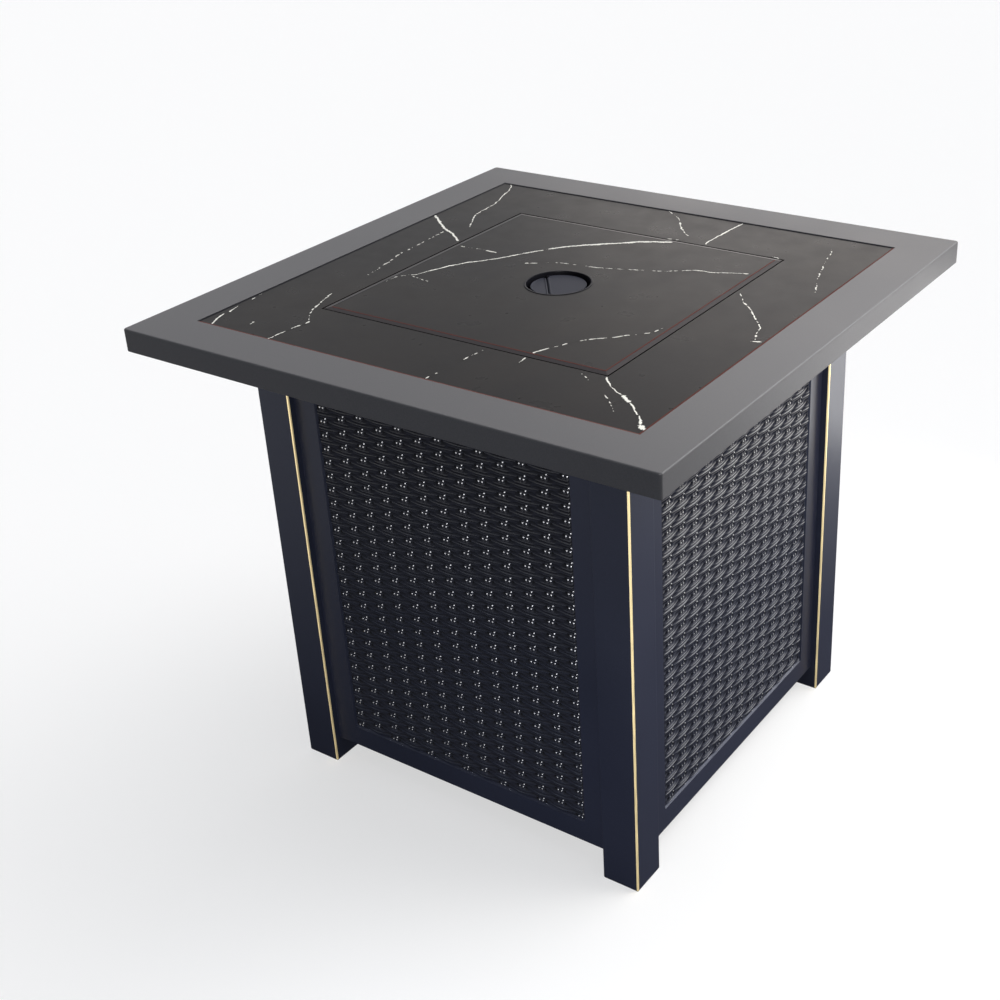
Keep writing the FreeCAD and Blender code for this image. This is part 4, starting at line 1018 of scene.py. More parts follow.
@dataclass(frozen=True)
class MarbleVeins:
    """Ribbons of print laid on the tile, split where the lid, its lip and its handle part them.

    Each ribbon lies a hair above the one before it, so that no two share a plane where they cross.
    """

    tile_edge: float = 295.5 * MM
    tile_top: float = 619.05 * MM
    hole_edge: float = 197.3 * MM
    lid_tile_edge: float = 188.0 * MM
    lid_top: float = 620.05 * MM
    handle_radius: float = 41.6 * MM
    step: float = 1.5 * MM
    stack_mm: float = 0.002
    margin: float = 2.0
    lanes: tuple[float, ...] = (-1.0, -0.5, 0.0, 0.5, 1.0)
    taper_steps: int = 4
    thinning: float = 0.68
    waver: float = 1.1 * MM
    waver_per_metre: float = 130
    swell: float = 0.45
    swell_per_metre: float = 90

    def region(self, x: float, y: float) -> Optional[Body]:
        """The body that a point of the print lies on.

        Args:
            x: the point's place across the top.
            y: the point's place along the top.

        Returns:
            The body, or None in a gap.
        """
        reach = max(abs(x), abs(y))
        if self.hole_edge < reach < self.tile_edge:
            return Body.TABLE
        if reach < self.lid_tile_edge and math.hypot(x, y) > self.handle_radius:
            return Body.LID
        return None

    def trace(self, vein: Vein, seed: int) -> list[Place]:
        """Follow a vein in short steps.

        Args:
            vein: the vein.
            seed: number that shapes its waver.

        Returns:
            (x, y, width) at each step, in metres.
        """
        corners = [Vector((x * MM, y * MM, 0.0)) for x, y in vein.points]
        ends = [corners[0] * 2 - corners[1], *corners, corners[-1] * 2 - corners[-2]]
        track: list[Place] = []
        spans = len(corners) - 1
        last_width = vein.end_width if vein.end_width is not None else vein.width
        for k in range(spans):
            p0, p1, p2, p3 = ends[k : k + 4]
            count = max(2, int((p2 - p1).length / self.step))
            for i in range(count + (k == spans - 1)):
                t = i / count
                point = 0.5 * (
                    2 * p1 + (p2 - p0) * t + (2 * p0 - 5 * p1 + 4 * p2 - p3) * t * t
                    + (3 * p1 - p0 - 3 * p2 + p3) * t * t * t
                )
                share = (k + t) / spans
                wide = (vein.width + (last_width - vein.width) * share) * self.thinning * MM
                wavy, swollen = self.waver_per_metre, self.swell_per_metre
                wobble = noise.noise(Vector((point.x * wavy, point.y * wavy, seed * 3.7)))
                bulge = noise.noise(Vector((point.x * swollen, point.y * swollen, seed * 1.9 + 40)))
                side = (p2 - p1).normalized().cross(Vector((0, 0, 1)))
                moved = point + side * wobble * self.waver
                track.append((moved.x, moved.y, wide * (1 + self.swell * bulge)))
        return track

    def ribbons(self, body: Body) -> tuple[list[Vector], list[list[int]], list[Colour]]:
        """Ribbons of every vein on one body.

        Args:
            body: the body that carries them.

        Returns:
            Points, faces and the mark of each point: its nearness to the core and its strength.
        """
        height = self.tile_top if body is Body.TABLE else self.lid_top
        points: list[Vector] = []
        faces: list[list[int]] = []
        marks: list[Colour] = []
        for seed, vein in enumerate(VEINS):
            track = self.trace(vein, seed)
            previous: Optional[int] = None
            for k, (x, y, wide) in enumerate(track):
                if self.region(x, y) is not body:
                    previous = None
                    continue
                ahead, behind = track[min(k + 1, len(track) - 1)], track[max(k - 1, 0)]
                along = Vector((ahead[0] - behind[0], ahead[1] - behind[1], 0.0)).normalized()
                side = along.cross(Vector((0, 0, 1)))
                fade = min(1.0, (k + 1) / self.taper_steps, (len(track) - k) / self.taper_steps)
                start = len(points)
                level = height + seed * self.stack_mm * MM
                for across in self.lanes:
                    place = Vector((x, y, level)) + side * (across * wide / 2 * self.margin)
                    reach = 1 - abs(across)
                    points.append(self.held(place, body))
                    marks.append((reach * fade, vein.strength, 0.0))
                if previous is not None:
                    lanes = range(len(self.lanes) - 1)
                    faces += [[previous + i, previous + i + 1, start + i + 1, start + i] for i in lanes]
                previous = start
        return points, faces, marks

    def held(self, place: Vector, body: Body) -> Vector:
        """A point of a ribbon, kept on the tile that carries it.

        Args:
            place: the point.
            body: the body whose tile it is.

        Returns:
            The point, moved inside the tile's edges.
        """
        limit = self.lid_tile_edge if body is Body.LID else self.tile_edge
        x, y = (max(-limit, min(limit, part)) for part in place.xy)
        if body is Body.TABLE and max(abs(x), abs(y)) < self.hole_edge:
            if abs(x) > abs(y):
                x = math.copysign(self.hole_edge, x)
            else:
                y = math.copysign(self.hole_edge, y)
        return Vector((x, y, place.z))

    def build(self, finishes: Finishes) -> None:
        """Lay the ribbons on the table's tile and on the lid's.

        Args:
            finishes: the finishes.
        """
        for body, name in ((Body.TABLE, "veins_border"), (Body.LID, "veins_lid")):
            points, faces, marks = self.ribbons(body)
            mesh = bpy.data.meshes.new(name)
            mesh.from_pydata([tuple(p) for p in points], [], faces)
            layer = mesh.color_attributes.new("vein", "FLOAT_COLOR", "POINT")
            layer.data.foreach_set("color", [part for mark in marks for part in (*mark, 1.0)])
            facing_down = [face for face in mesh.polygons if face.normal.z < 0]
            if len(facing_down) > len(mesh.polygons) / 2:
                mesh.flip_normals()
            mesh.materials.append(finishes.vein)
            settle(add_object(name, mesh), body)


# ---------------------------------------------------------------- lid and handle


@dataclass(frozen=True)
class LiftOffLid:
    """Painted lid with its printed tile, pads and the recessed handle."""

    top: float = 620 * MM
    tile_edge: float = 188.2 * MM
    lip_edge: float = 188.5 * MM
    cup_outer: float = 40 * MM
    cup_inner: float = 38.5 * MM
    bezel: float = 41.2 * MM
    bezel_height: float = 0.6 * MM
    cup_depth: float = 26.5 * MM
    floor: float = 1.5 * MM
    turn_degrees: float = -52.0
    pin_offset: float = 10 * MM
    pin_height: float = 613 * MM
    lug_start: float = 31.6 * MM
    lug_width: float = 4.4 * MM
    lug_height: float = 7.4 * MM
    barrel_radius: float = 3.1 * MM
    barrel_facets: int = 24
    grip_radius: float = 33.5 * MM
    grip_top: float = 617.5 * MM
    grip_thickness: float = 2 * MM
    small_dip: float = 0.9 * MM
    split: float = 12.4 * MM
    seam: float = 1.9 * MM
    rim: float = 2.2 * MM
    notch: float = 4.2 * MM

    def turned_place(self, x: float, y: float, z: float) -> Vector:
        """A place of the handle's own frame, turned to lie along its pin."""
        cos, sin = math.cos(math.radians(self.turn_degrees)), math.sin(math.radians(self.turn_degrees))
        return Vector((x * cos - y * sin, x * sin + y * cos, z))

    def cup_section(self) -> list[Point]:
        """Section of the spun cup with its rolled rim.

        Returns:
            Its corners as (radius, height).
        """
        rim, bottom = self.top + self.bezel_height, self.top - self.cup_depth
        return rounded((
            (self.cup_outer, self.top + SLIVER, 0.0),
            (self.bezel, self.top + SLIVER, 0.0),
            (self.bezel, rim, 0.5 * MM),
            (self.cup_inner, rim, 0.8 * MM),
            (self.cup_inner, bottom + self.floor, 1.5 * MM),
            (0.2 * MM, bottom + self.floor, 0.0),
            (0.2 * MM, bottom, 0.0),
            (self.cup_outer, bottom, 1.5 * MM),
        ), 4)

    def build_bead(self, finishes: Finishes) -> None:
        """Thin bead of sealant between the lid's lip and its tile.

        Args:
            finishes: the finishes.
        """
        low, foot = self.top - 1.2 * MM, self.top + 0.03 * MM
        outline = (
            (self.tile_edge + SLIVER, low, 0.0),
            (self.lip_edge - SLIVER, low, 0.0),
            (self.lip_edge + 0.35 * MM, foot, 0.0),
            (self.lip_edge - 0.1 * MM, self.top + 0.12 * MM, 0.0),
            (self.tile_edge - 0.9 * MM, foot, 0.0),
            (self.tile_edge + SLIVER, foot, 0.0),
        )
        piece = square_section("lid_bead", outline, finishes.sealant, lambda half: BEAD_CORNER)
        shade_far_sides(piece, finishes.well)
        settle(piece, Body.LID)

    def build_cup(self, finishes: Finishes) -> None:
        """Spun cup, and the two lugs that carry the pin.

        Args:
            finishes: the finishes.
        """
        well = turned("handle_well", self.cup_section(), finishes.well)
        settle(well, Body.LID, ("handle_cup",))
        wide, tall = self.lug_width / 2, self.lug_height / 2
        section = rounded([
            (y * wide - self.pin_offset, z * tall + self.pin_height, 1.2 * MM)
            for y, z in ((-1, -1), (1, -1), (1, 1), (-1, 1))
        ], 4)
        lugs = []
        for side in (-1, 1):
            ends = (side * self.lug_start, side * (self.cup_inner - 0.9 * MM))
            loops = [[self.turned_place(end, y, z) for y, z in section] for end in ends]
            lugs.append(bridge(loops, closed=False, capped=True))
        settle(mesh_object("handle_lugs", *joined(lugs), finishes.well), Body.LID)

    def plate_outline(self, large: bool) -> list[Point]:
        """Plan of one part of the rocking disc, with its corners cut back at the seam.

        Args:
            large: True for the large part, False for the small one beyond the seam.

        Returns:
            The outline in the handle's own frame.
        """
        edge = -self.split + self.seam / 2 if large else -self.split - self.seam / 2
        cut = edge + self.notch if large else edge - self.notch * 0.7
        start = math.asin(cut / self.grip_radius)
        sweep = math.pi - 2 * start if large else -(math.pi + 2 * start)
        steps = 72 if large else 40
        angles = [start + sweep * i / steps for i in range(steps + 1)]
        arc = [(self.grip_radius * math.cos(a), self.grip_radius * math.sin(a)) for a in angles]
        reach = math.sqrt(self.grip_radius**2 - edge**2) - self.notch
        return [*arc, (-reach, edge), (reach, edge)]

    def plate_loops(self, large: bool) -> list[Loop]:
        """Skin of one part, from its underside over its rim to its middle.

        Args:
            large: True for the large part, False for the small one, whose top dips towards the seam.

        Returns:
            The loops, the underside's first.
        """
        outline = self.plate_outline(large)
        top, under = self.grip_top, self.grip_top - self.grip_thickness
        if large:
            steps = ((0.0, under), (0.0, top - 0.6 * MM), (0.2 * MM, top - 0.2 * MM), (0.6 * MM, top),
                     (self.rim, top), (self.rim + 0.5 * MM, top - 0.25 * MM))
        else:
            steps = ((0.0, under), (0.0, top - 0.5 * MM), (0.2 * MM, top - 0.1 * MM), (0.5 * MM, top),
                     (self.rim * 0.7, top), (self.rim, top - 0.7 * MM))
        loops = []
        for row, (inset, height) in enumerate(steps):
            dip = 0.0 if large or row == 0 else self.small_dip
            loops.append([
                self.turned_place(x, y, height - dip * self.nearness(y))
                for x, y in inset_outline(outline, inset)
            ])
        return loops

    def nearness(self, y: float) -> float:
        """How near a place of the small part is to the seam, from 0 at its far rim to 1."""
        return max(0.0, min(1.0, (y + self.grip_radius) / (self.grip_radius - self.split)))

    def build_grip(self, finishes: Finishes) -> None:
        """Rocking disc of two parts on a barrel.

        Args:
            finishes: the finishes.
        """
        skins = [bridge(self.plate_loops(large), closed=False, capped=True) for large in (True, False)]
        half, chamfer = self.lug_start - 1.2 * MM, 0.8 * MM
        ring = [2 * math.pi * i / self.barrel_facets for i in range(self.barrel_facets)]
        loops = []
        for along, share in ((-half, 0.7), (-half + chamfer, 1.0), (half - chamfer, 1.0), (half, 0.7)):
            reach = share * self.barrel_radius
            across = [
                (reach * math.cos(a) - self.pin_offset, reach * math.sin(a) + self.pin_height)
                for a in ring
            ]
            loops.append([self.turned_place(along, y, z) for y, z in across])
        skins.append(bridge(loops, closed=False, capped=True))
        piece = mesh_object("handle_flap", *joined(skins), finishes.handle)
        keep_flats_flat(piece)
        settle(piece, Body.GRIP, ("lid_grip",))

    def build(self, finishes: Finishes) -> None:
        """Build the handle and dress the rest of the lid.

        Args:
            finishes: the finishes.
        """
        self.build_cup(finishes)
        self.build_grip(finishes)
        self.build_bead(finishes)
        dress(("lid_tray",), finishes.lid)
        dress(("lid_tile",), finishes.marble)
        dress(("lid_pads",), finishes.rubber)
        dress(("grip_pin",), finishes.stainless)


# ---------------------------------------------------------------- cabinet


@dataclass(frozen=True)
class WeaveRelief:
    """Half-drop wicker: bundles of strands pass over one pair of stakes and behind the next.

    A tone goes with every place, for the paint: below 0 in pits and creases and 0 in grooves for
    painted shade, 1 on crests for painted highlights.
    """

    column: float = 28.35 * MM
    row: float = 18.1 * MM
    strands: int = 3
    strands_per_row: int = 5
    strand_fill: float = 0.93
    bunching: float = 0.06
    rise: float = 1.25 * MM
    strand_height: float = 1.5 * MM
    lifted: float = 0.15 * MM
    crown: float = 0.2 * MM
    droop: float = 0.9 * MM
    # Tone of the lowest, middle and top strand: the lowest is darker, painted shade as it turns down.
    strand_tones: tuple[float, float, float] = (0.5, 1.0, 0.85)
    stake_gap: float = 2.45 * MM
    stake_radius: float = 2.3 * MM
    stake_height: float = 1.3 * MM
    stake_tone: float = 0.6
    bead: tuple[float, float, float] = (2.2 * MM, 2.5 * MM, 1.9 * MM)
    bead_drop: float = 0.905 * MM
    bead_tone: float = 0.5
    nubs: tuple[float, float] = (1.12 * MM, 1.2 * MM)
    nub_proud: float = 0.45 * MM
    crease_drop: float = 5.95 * MM
    crease_half: float = 1.25 * MM
    crease_depth: float = 0.9 * MM
    crease_tone: float = 0.75
    pit: tuple[float, float] = (2.0 * MM, 1.5 * MM)
    pit_place: float = 6.4 * MM
    pit_edge: float = 0.35
    pit_tone: float = -0.6
    knot_radius: float = 1.05 * MM
    knot_place: float = 4.05 * MM
    knot_drop: float = 5.43 * MM
    knot_height: float = 2.6 * MM
    floor: float = 0.06 * MM
    # Tone of the bare field between the strands: painted shade.
    floor_tone: float = -0.15
    ramp: float = 1.6 * MM
    line_step: float = 0.8 * MM
    edge_gap: float = 0.3 * MM

    @property
    def strand(self) -> float:
        """Width of one strand."""
        return self.row / self.strands_per_row

    def half_drop(self, u: np.ndarray, v: np.ndarray, parity: int) -> tuple[np.ndarray, ...]:
        """Places in the pattern's own cell, for one of its two interlocking sets.

        Args:
            u: places across the panel in metres.
            v: places up the panel in metres.
            parity: 0 for the first set, 1 for the one dropped by half a row.

        Returns:
            How far the bundle is to the fore from -1 to 1, the places up from its middle, and the
            places across and up from the nearest pair of stakes.
        """
        column, row = self.column, self.row
        lean = np.cos(math.pi * (u - parity * column) / column)
        across = (v - parity * row / 2 + row / 2) % row - row / 2
        nearest = (u - parity * column + column) % (2 * column) - column
        between = (v - parity * row / 2) % row - row / 2
        return lean, across, nearest, between

    def round_top(self, offset: np.ndarray, half: float) -> np.ndarray:
        """Half-round section, and a deep hollow beyond it.

        Args:
            offset: places across the section.
            half: half its width.

        Returns:
            The height at each place, 1 at the crown.
        """
        share = offset / half
        inside = np.sqrt(np.clip(1 - share * share, 0, None))
        return np.where(np.abs(share) <= 1, inside, -9.0)

    def solids(self, u: np.ndarray, v: np.ndarray) -> Iterator[tuple[np.ndarray, np.ndarray, bool]]:
        """Height and tone of every strand, stake and knot.

        Args:
            u: places across the panel in metres.
            v: places up the panel in metres.

        Yields:
            The height of one of them, its tone from 0 in a groove to 1 on a crest, and whether it is
            one of the metal nubs that stand in for glints.
        """
        for parity in (0, 1):
            lean, across, nearest, between = self.half_drop(u, v, parity)
            # Strands are darker where their bundle goes behind: painted shade.
            depth = 0.5 + 0.5 * (lean + 1) / 2
            spread = 1 - self.bunching * (1 - lean)
            for k in range(self.strands):
                place = k - (self.strands - 1) / 2
                offset = across - place * self.strand * spread
                section = self.round_top(offset, self.strand / 2 * self.strand_fill)
                sag = self.crown * place * place + self.droop * max(0.0, -place)
                height = self.rise * lean + section * self.strand_height + self.lifted - sag
                yield height, section**4 * depth * self.strand_tones[k], False
            for side in (-1, 1):
                aside = nearest - side * self.stake_gap
                stake = np.where(np.abs(between) < self.row / 3, aside, 1.0)
                section = self.round_top(stake, self.stake_radius)
                yield self.floor + self.stake_height * section, section * section * self.stake_tone, False
                wide, tall, deep = self.bead
                section = self.round_top(np.hypot(aside / wide, (between + self.bead_drop) / tall), 1.0)
                yield self.floor + deep * section, section * self.bead_tone, False
                # Nubs on the stakes, as does the knot that follows, wear bright metal at fixed places: they
                # stand in for glints.
                nub = self.nubs[(side + 1) // 2]
                section = self.round_top(np.hypot(aside, between + self.bead_drop) / nub, 1.0)
                yield self.floor + deep + self.nub_proud - nub + nub * section, section, True
            knot = self.knot_radius
            away = np.hypot(nearest - self.knot_place, across + self.knot_drop)
            section = self.round_top(away / knot, 1.0)
            yield self.knot_height - knot + knot * section, section, True

    def raise_over(self, u: np.ndarray, v: np.ndarray) -> tuple[np.ndarray, np.ndarray, np.ndarray]:
        """Relief above the panel's floor.

        Args:
            u: places across the panel in metres.
            v: places up the panel in metres.

        Returns:
            The height, the tone and the metal nubs that stand in for glints at each place.
        """
        height, tone = np.full(u.shape, self.floor), np.full(u.shape, self.floor_tone)
        glossy = np.zeros(u.shape, bool)
        for candidate, its_tone, worn in self.solids(u, v):
            above = candidate > height
            height = np.where(above, candidate, height)
            tone = np.where(above, np.clip(its_tone, 0, 1), tone)
            glossy = np.where(above, worn, glossy)
        # Creases and pits lower the tone: painted shade.
        for crease in self.creases(u, v):
            crease = np.where(glossy, 0.0, crease)
            height = np.maximum(self.floor, height - self.crease_depth * crease)
            tone = tone - self.crease_tone * crease
        for open_part in self.pits(u, v):
            height = height + (self.floor - height) * open_part
            tone = np.maximum(tone, self.pit_tone) * (1 - open_part) + self.pit_tone * open_part
            glossy = glossy & (open_part < 0.5)
        return height, tone, glossy

    def creases(self, u: np.ndarray, v: np.ndarray) -> Iterator[np.ndarray]:
        """Crease under each bundle where it lies over its neighbours, with a painted shadow in it.

        Args:
            u: places across the panel in metres.
            v: places up the panel in metres.

        Yields:
            How deep one set of creases is at each place, from 0 to 1.
        """
        for parity in (0, 1):
            lean, across, _, _ = self.half_drop(u, v, parity)
            away = np.minimum(np.abs(across + self.crease_drop), np.abs(across + self.crease_drop - self.row))
            yield np.clip(1.6 - 1.6 * away / self.crease_half, 0, 1) * np.clip(0.9 + 1.6 * lean, 0, 1)

    def pits(self, u: np.ndarray, v: np.ndarray) -> Iterator[np.ndarray]:
        """Holes beside each pair of stakes, sunk to the floor and painted near black: painted shade.

        Args:
            u: places across the panel in metres.
            v: places up the panel in metres.

        Yields:
            How open one set of holes is at each place, from 0 to 1.
        """
        for parity in (0, 1):
            _, _, nearest, between = self.half_drop(u, v, parity)
            wide, tall = self.pit
            for side in (-1, 1):
                away = np.hypot((nearest - side * self.pit_place) / wide, (between + self.bead_drop) / tall)
                yield np.clip((1 - away) / self.pit_edge, 0, 1)

    def lines_across(self, half: float, shift: float) -> np.ndarray:
        """Grid lines across a panel, closer together at the stakes.

        Args:
            half: half the panel's width.
            shift: how far the pattern is moved sideways.

        Returns:
            The lines' places, the panel's edges among them.
        """
        column = self.column
        near = [0.0, *(self.stake_gap + k * self.line_step for k in range(-2, 9))]
        far = [near[-1] + (column / 2 - near[-1]) * s for s in (0.33, 0.66)]
        steps = near + far
        offsets = sorted({*steps, *(-s for s in steps), column / 2})
        count = int(half / column) + 2
        lines = {round(c * column + s - shift, 7) for c in range(-count, count + 1) for s in offsets}
        return np.array(sorted({x for x in lines if abs(x) < half - self.edge_gap} | {-half, half}))

    def lines_up(self, low: float, high: float, middle: float) -> np.ndarray:
        """Grid lines up a panel, on every strand's crest, side and valley.

        Args:
            low: the panel's lower edge.
            high: its upper edge.
            middle: height of a bundle's middle.

        Returns:
            The lines' places, the panel's edges among them.
        """
        step = self.strand / 4
        first = math.ceil((low - middle) / step)
        last = math.floor((high - middle) / step)
        lines = {round(middle + k * step, 7) for k in range(first, last + 1)}
        return np.array(sorted({z for z in lines if low + 0.2 * MM < z < high - 0.2 * MM} | {low, high}))


@dataclass(frozen=True)
class WovenPanel:
    """Relief in the pressed field of one panel."""

    side: str
    body: Body
    turn_degrees: float
    low: float
    high: float
    half: float = 176.6 * MM
    seat: float = 244 * MM
    shift: float = -1.8 * MM
    lift: float = -10.55 * MM
    middle: float = 319.5 * MM
    painted_highlight: float = 1.0
    sharp_degrees: float = 70.0

    def stand_up(self, u: np.ndarray, v: np.ndarray, raised: np.ndarray) -> np.ndarray:
        """Points of the relief, standing on the panel's own side of the table.

        Args:
            u: places across the panel.
            v: heights above the ground.
            raised: relief in front of the panel's field.

        Returns:
            One row of x, y and z for each point.
        """
        turn = math.radians(self.turn_degrees)
        right = np.array((math.cos(turn), math.sin(turn), 0.0))
        out = np.array((math.sin(turn), -math.cos(turn), 0.0))
        upward = np.array((0.0, 0.0, 1.0))
        points = u[..., None] * right + (self.seat + raised)[..., None] * out + v[..., None] * upward
        return points.reshape(-1, 3)

    def build(self, weave: WeaveRelief, finishes: Finishes) -> None:
        """Raise the relief over a grid and lay it in the panel's field.

        Args:
            weave: the pattern.
            finishes: the finishes.
        """
        across = weave.lines_across(self.half, self.shift)
        up = weave.lines_up(self.low, self.high, self.middle - self.lift)
        u, v = np.meshgrid(across, up)
        raised, tone, glossy = weave.raise_over(u + self.shift, v - self.middle + self.lift)
        rim = np.minimum.reduce([self.half - np.abs(u), v - self.low, self.high - v])
        held = np.clip(rim / weave.ramp, 0, 1)
        # Tones scaled per panel: painted light, brighter crests on the lit side and dimmer on the front.
        tone = np.where(tone > 0, np.clip(tone * self.painted_highlight, 0, 1), tone)
        raised, tone = weave.floor + (raised - weave.floor) * held, tone * held
        points = self.stand_up(u, v, raised)
        rows, columns = u.shape
        corner = (np.arange(rows - 1)[:, None] * columns + np.arange(columns - 1)[None, :]).reshape(-1, 1)
        quads = corner + np.array((0, 1, columns + 1, columns))
        mesh = bpy.data.meshes.new(f"{self.side}_weave")
        mesh.vertices.add(len(points))
        mesh.vertices.foreach_set("co", points.ravel())
        mesh.loops.add(quads.size)
        mesh.loops.foreach_set("vertex_index", quads.ravel())
        mesh.polygons.add(len(quads))
        mesh.polygons.foreach_set("loop_start", np.arange(0, quads.size, 4))
        mesh.update(calc_edges=True)
        layer = mesh.attributes.new("tone", "FLOAT", "POINT")
        layer.data.foreach_set("value", tone.ravel())
        mesh.shade_smooth()
        mesh.set_sharp_from_angle(angle=math.radians(self.sharp_degrees))
        mesh.materials.append(finishes.weave)
        mesh.materials.append(finishes.weave_worn)
        # Faces on the nubs take the bright metal that stands in for glints.
        high = glossy.astype(int)
        worn = high[:-1, :-1] + high[1:, :-1] + high[:-1, 1:] + high[1:, 1:] >= 3
        mesh.polygons.foreach_set("material_index", worn.astype(int).ravel())
        settle(add_object(mesh.name, mesh), self.body)


CORNERS = {"front_left": (-1, -1), "front_right": (1, -1), "rear_right": (1, 1), "rear_left": (-1, 1)}


@dataclass(frozen=True)
class Cabinet:
    """Four posts with their gold corner strips, the pressed panels and the inner frame."""

    centre: float = 233 * MM
    half: float = 24 * MM
    notch: float = 2 * MM
    low: float = 1.5 * MM
    high: float = 612 * MM
    edge_radius: float = 1.3 * MM
    field_low: float = 63.6 * MM
    field_high: float = 575.4 * MM
    door_field_high: float = 436.4 * MM

    def build_post(self, corner: str, finishes: Finishes) -> None:
        """Square post with two eased edges and two notches for the strips.

        Args:
            corner: which corner of the table.
            finishes: the finishes.
        """
        sx, sy = CORNERS[corner]
        x, y, h, n, r = sx * self.centre, sy * self.centre, self.half, self.notch, self.edge_radius
        outline = rounded((
            (x - h, y - h, r),
            (x + h - n, y - h, 0.0),
            (x + h - n, y - h + n, 0.0),
            (x + h, y - h + n, 0.0),
            (x + h, y + h, r),
            (x - h + n, y + h, 0.0),
            (x - h + n, y + h - n, 0.0),
            (x - h, y + h - n, 0.0),
        ), 4)
        piece = prism(f"post_skin_{corner}", outline, self.low, self.high, finishes.body)
        settle(piece, Body.TABLE, (f"post_{corner}",))

    def build(self, finishes: Finishes) -> None:
        """Build the posts and the woven fields, and dress the rest.

        Args:
            finishes: the finishes.
        """
        for corner in CORNERS:
            self.build_post(corner, finishes)
            dress((f"post_trim_{corner}",), finishes.gold)
            dress((f"foot_glide_{corner}",), finishes.plastic)
        sides = ("front", "right", "rear", "left")
        dress([f"{level}_rail_{side}" for level in ("top", "bottom") for side in sides], finishes.galvanised)
        dress(("tank_shelf", "tank_collar", "hinge_plate"), finishes.galvanised)
        dress(("front_panel", "right_panel", "left_panel"), finishes.body)
        low, high = self.field_low, self.field_high
        # The right panel's tones are raised and the front's lowered: painted light for the lit and the shaded
        # side.
        panels = (
            WovenPanel("front", Body.TABLE, 0.0, low, high, painted_highlight=0.8),
            WovenPanel("right", Body.TABLE, 90.0, low, high, shift=-8.4 * MM, lift=3.75 * MM, painted_highlight=1.15),
            WovenPanel("left", Body.TABLE, 270.0, low, high),
            WovenPanel("door", Body.DOOR, 180.0, low, self.door_field_high),
        )
        weave = WeaveRelief()
        for panel in panels:
            panel.build(weave, finishes)


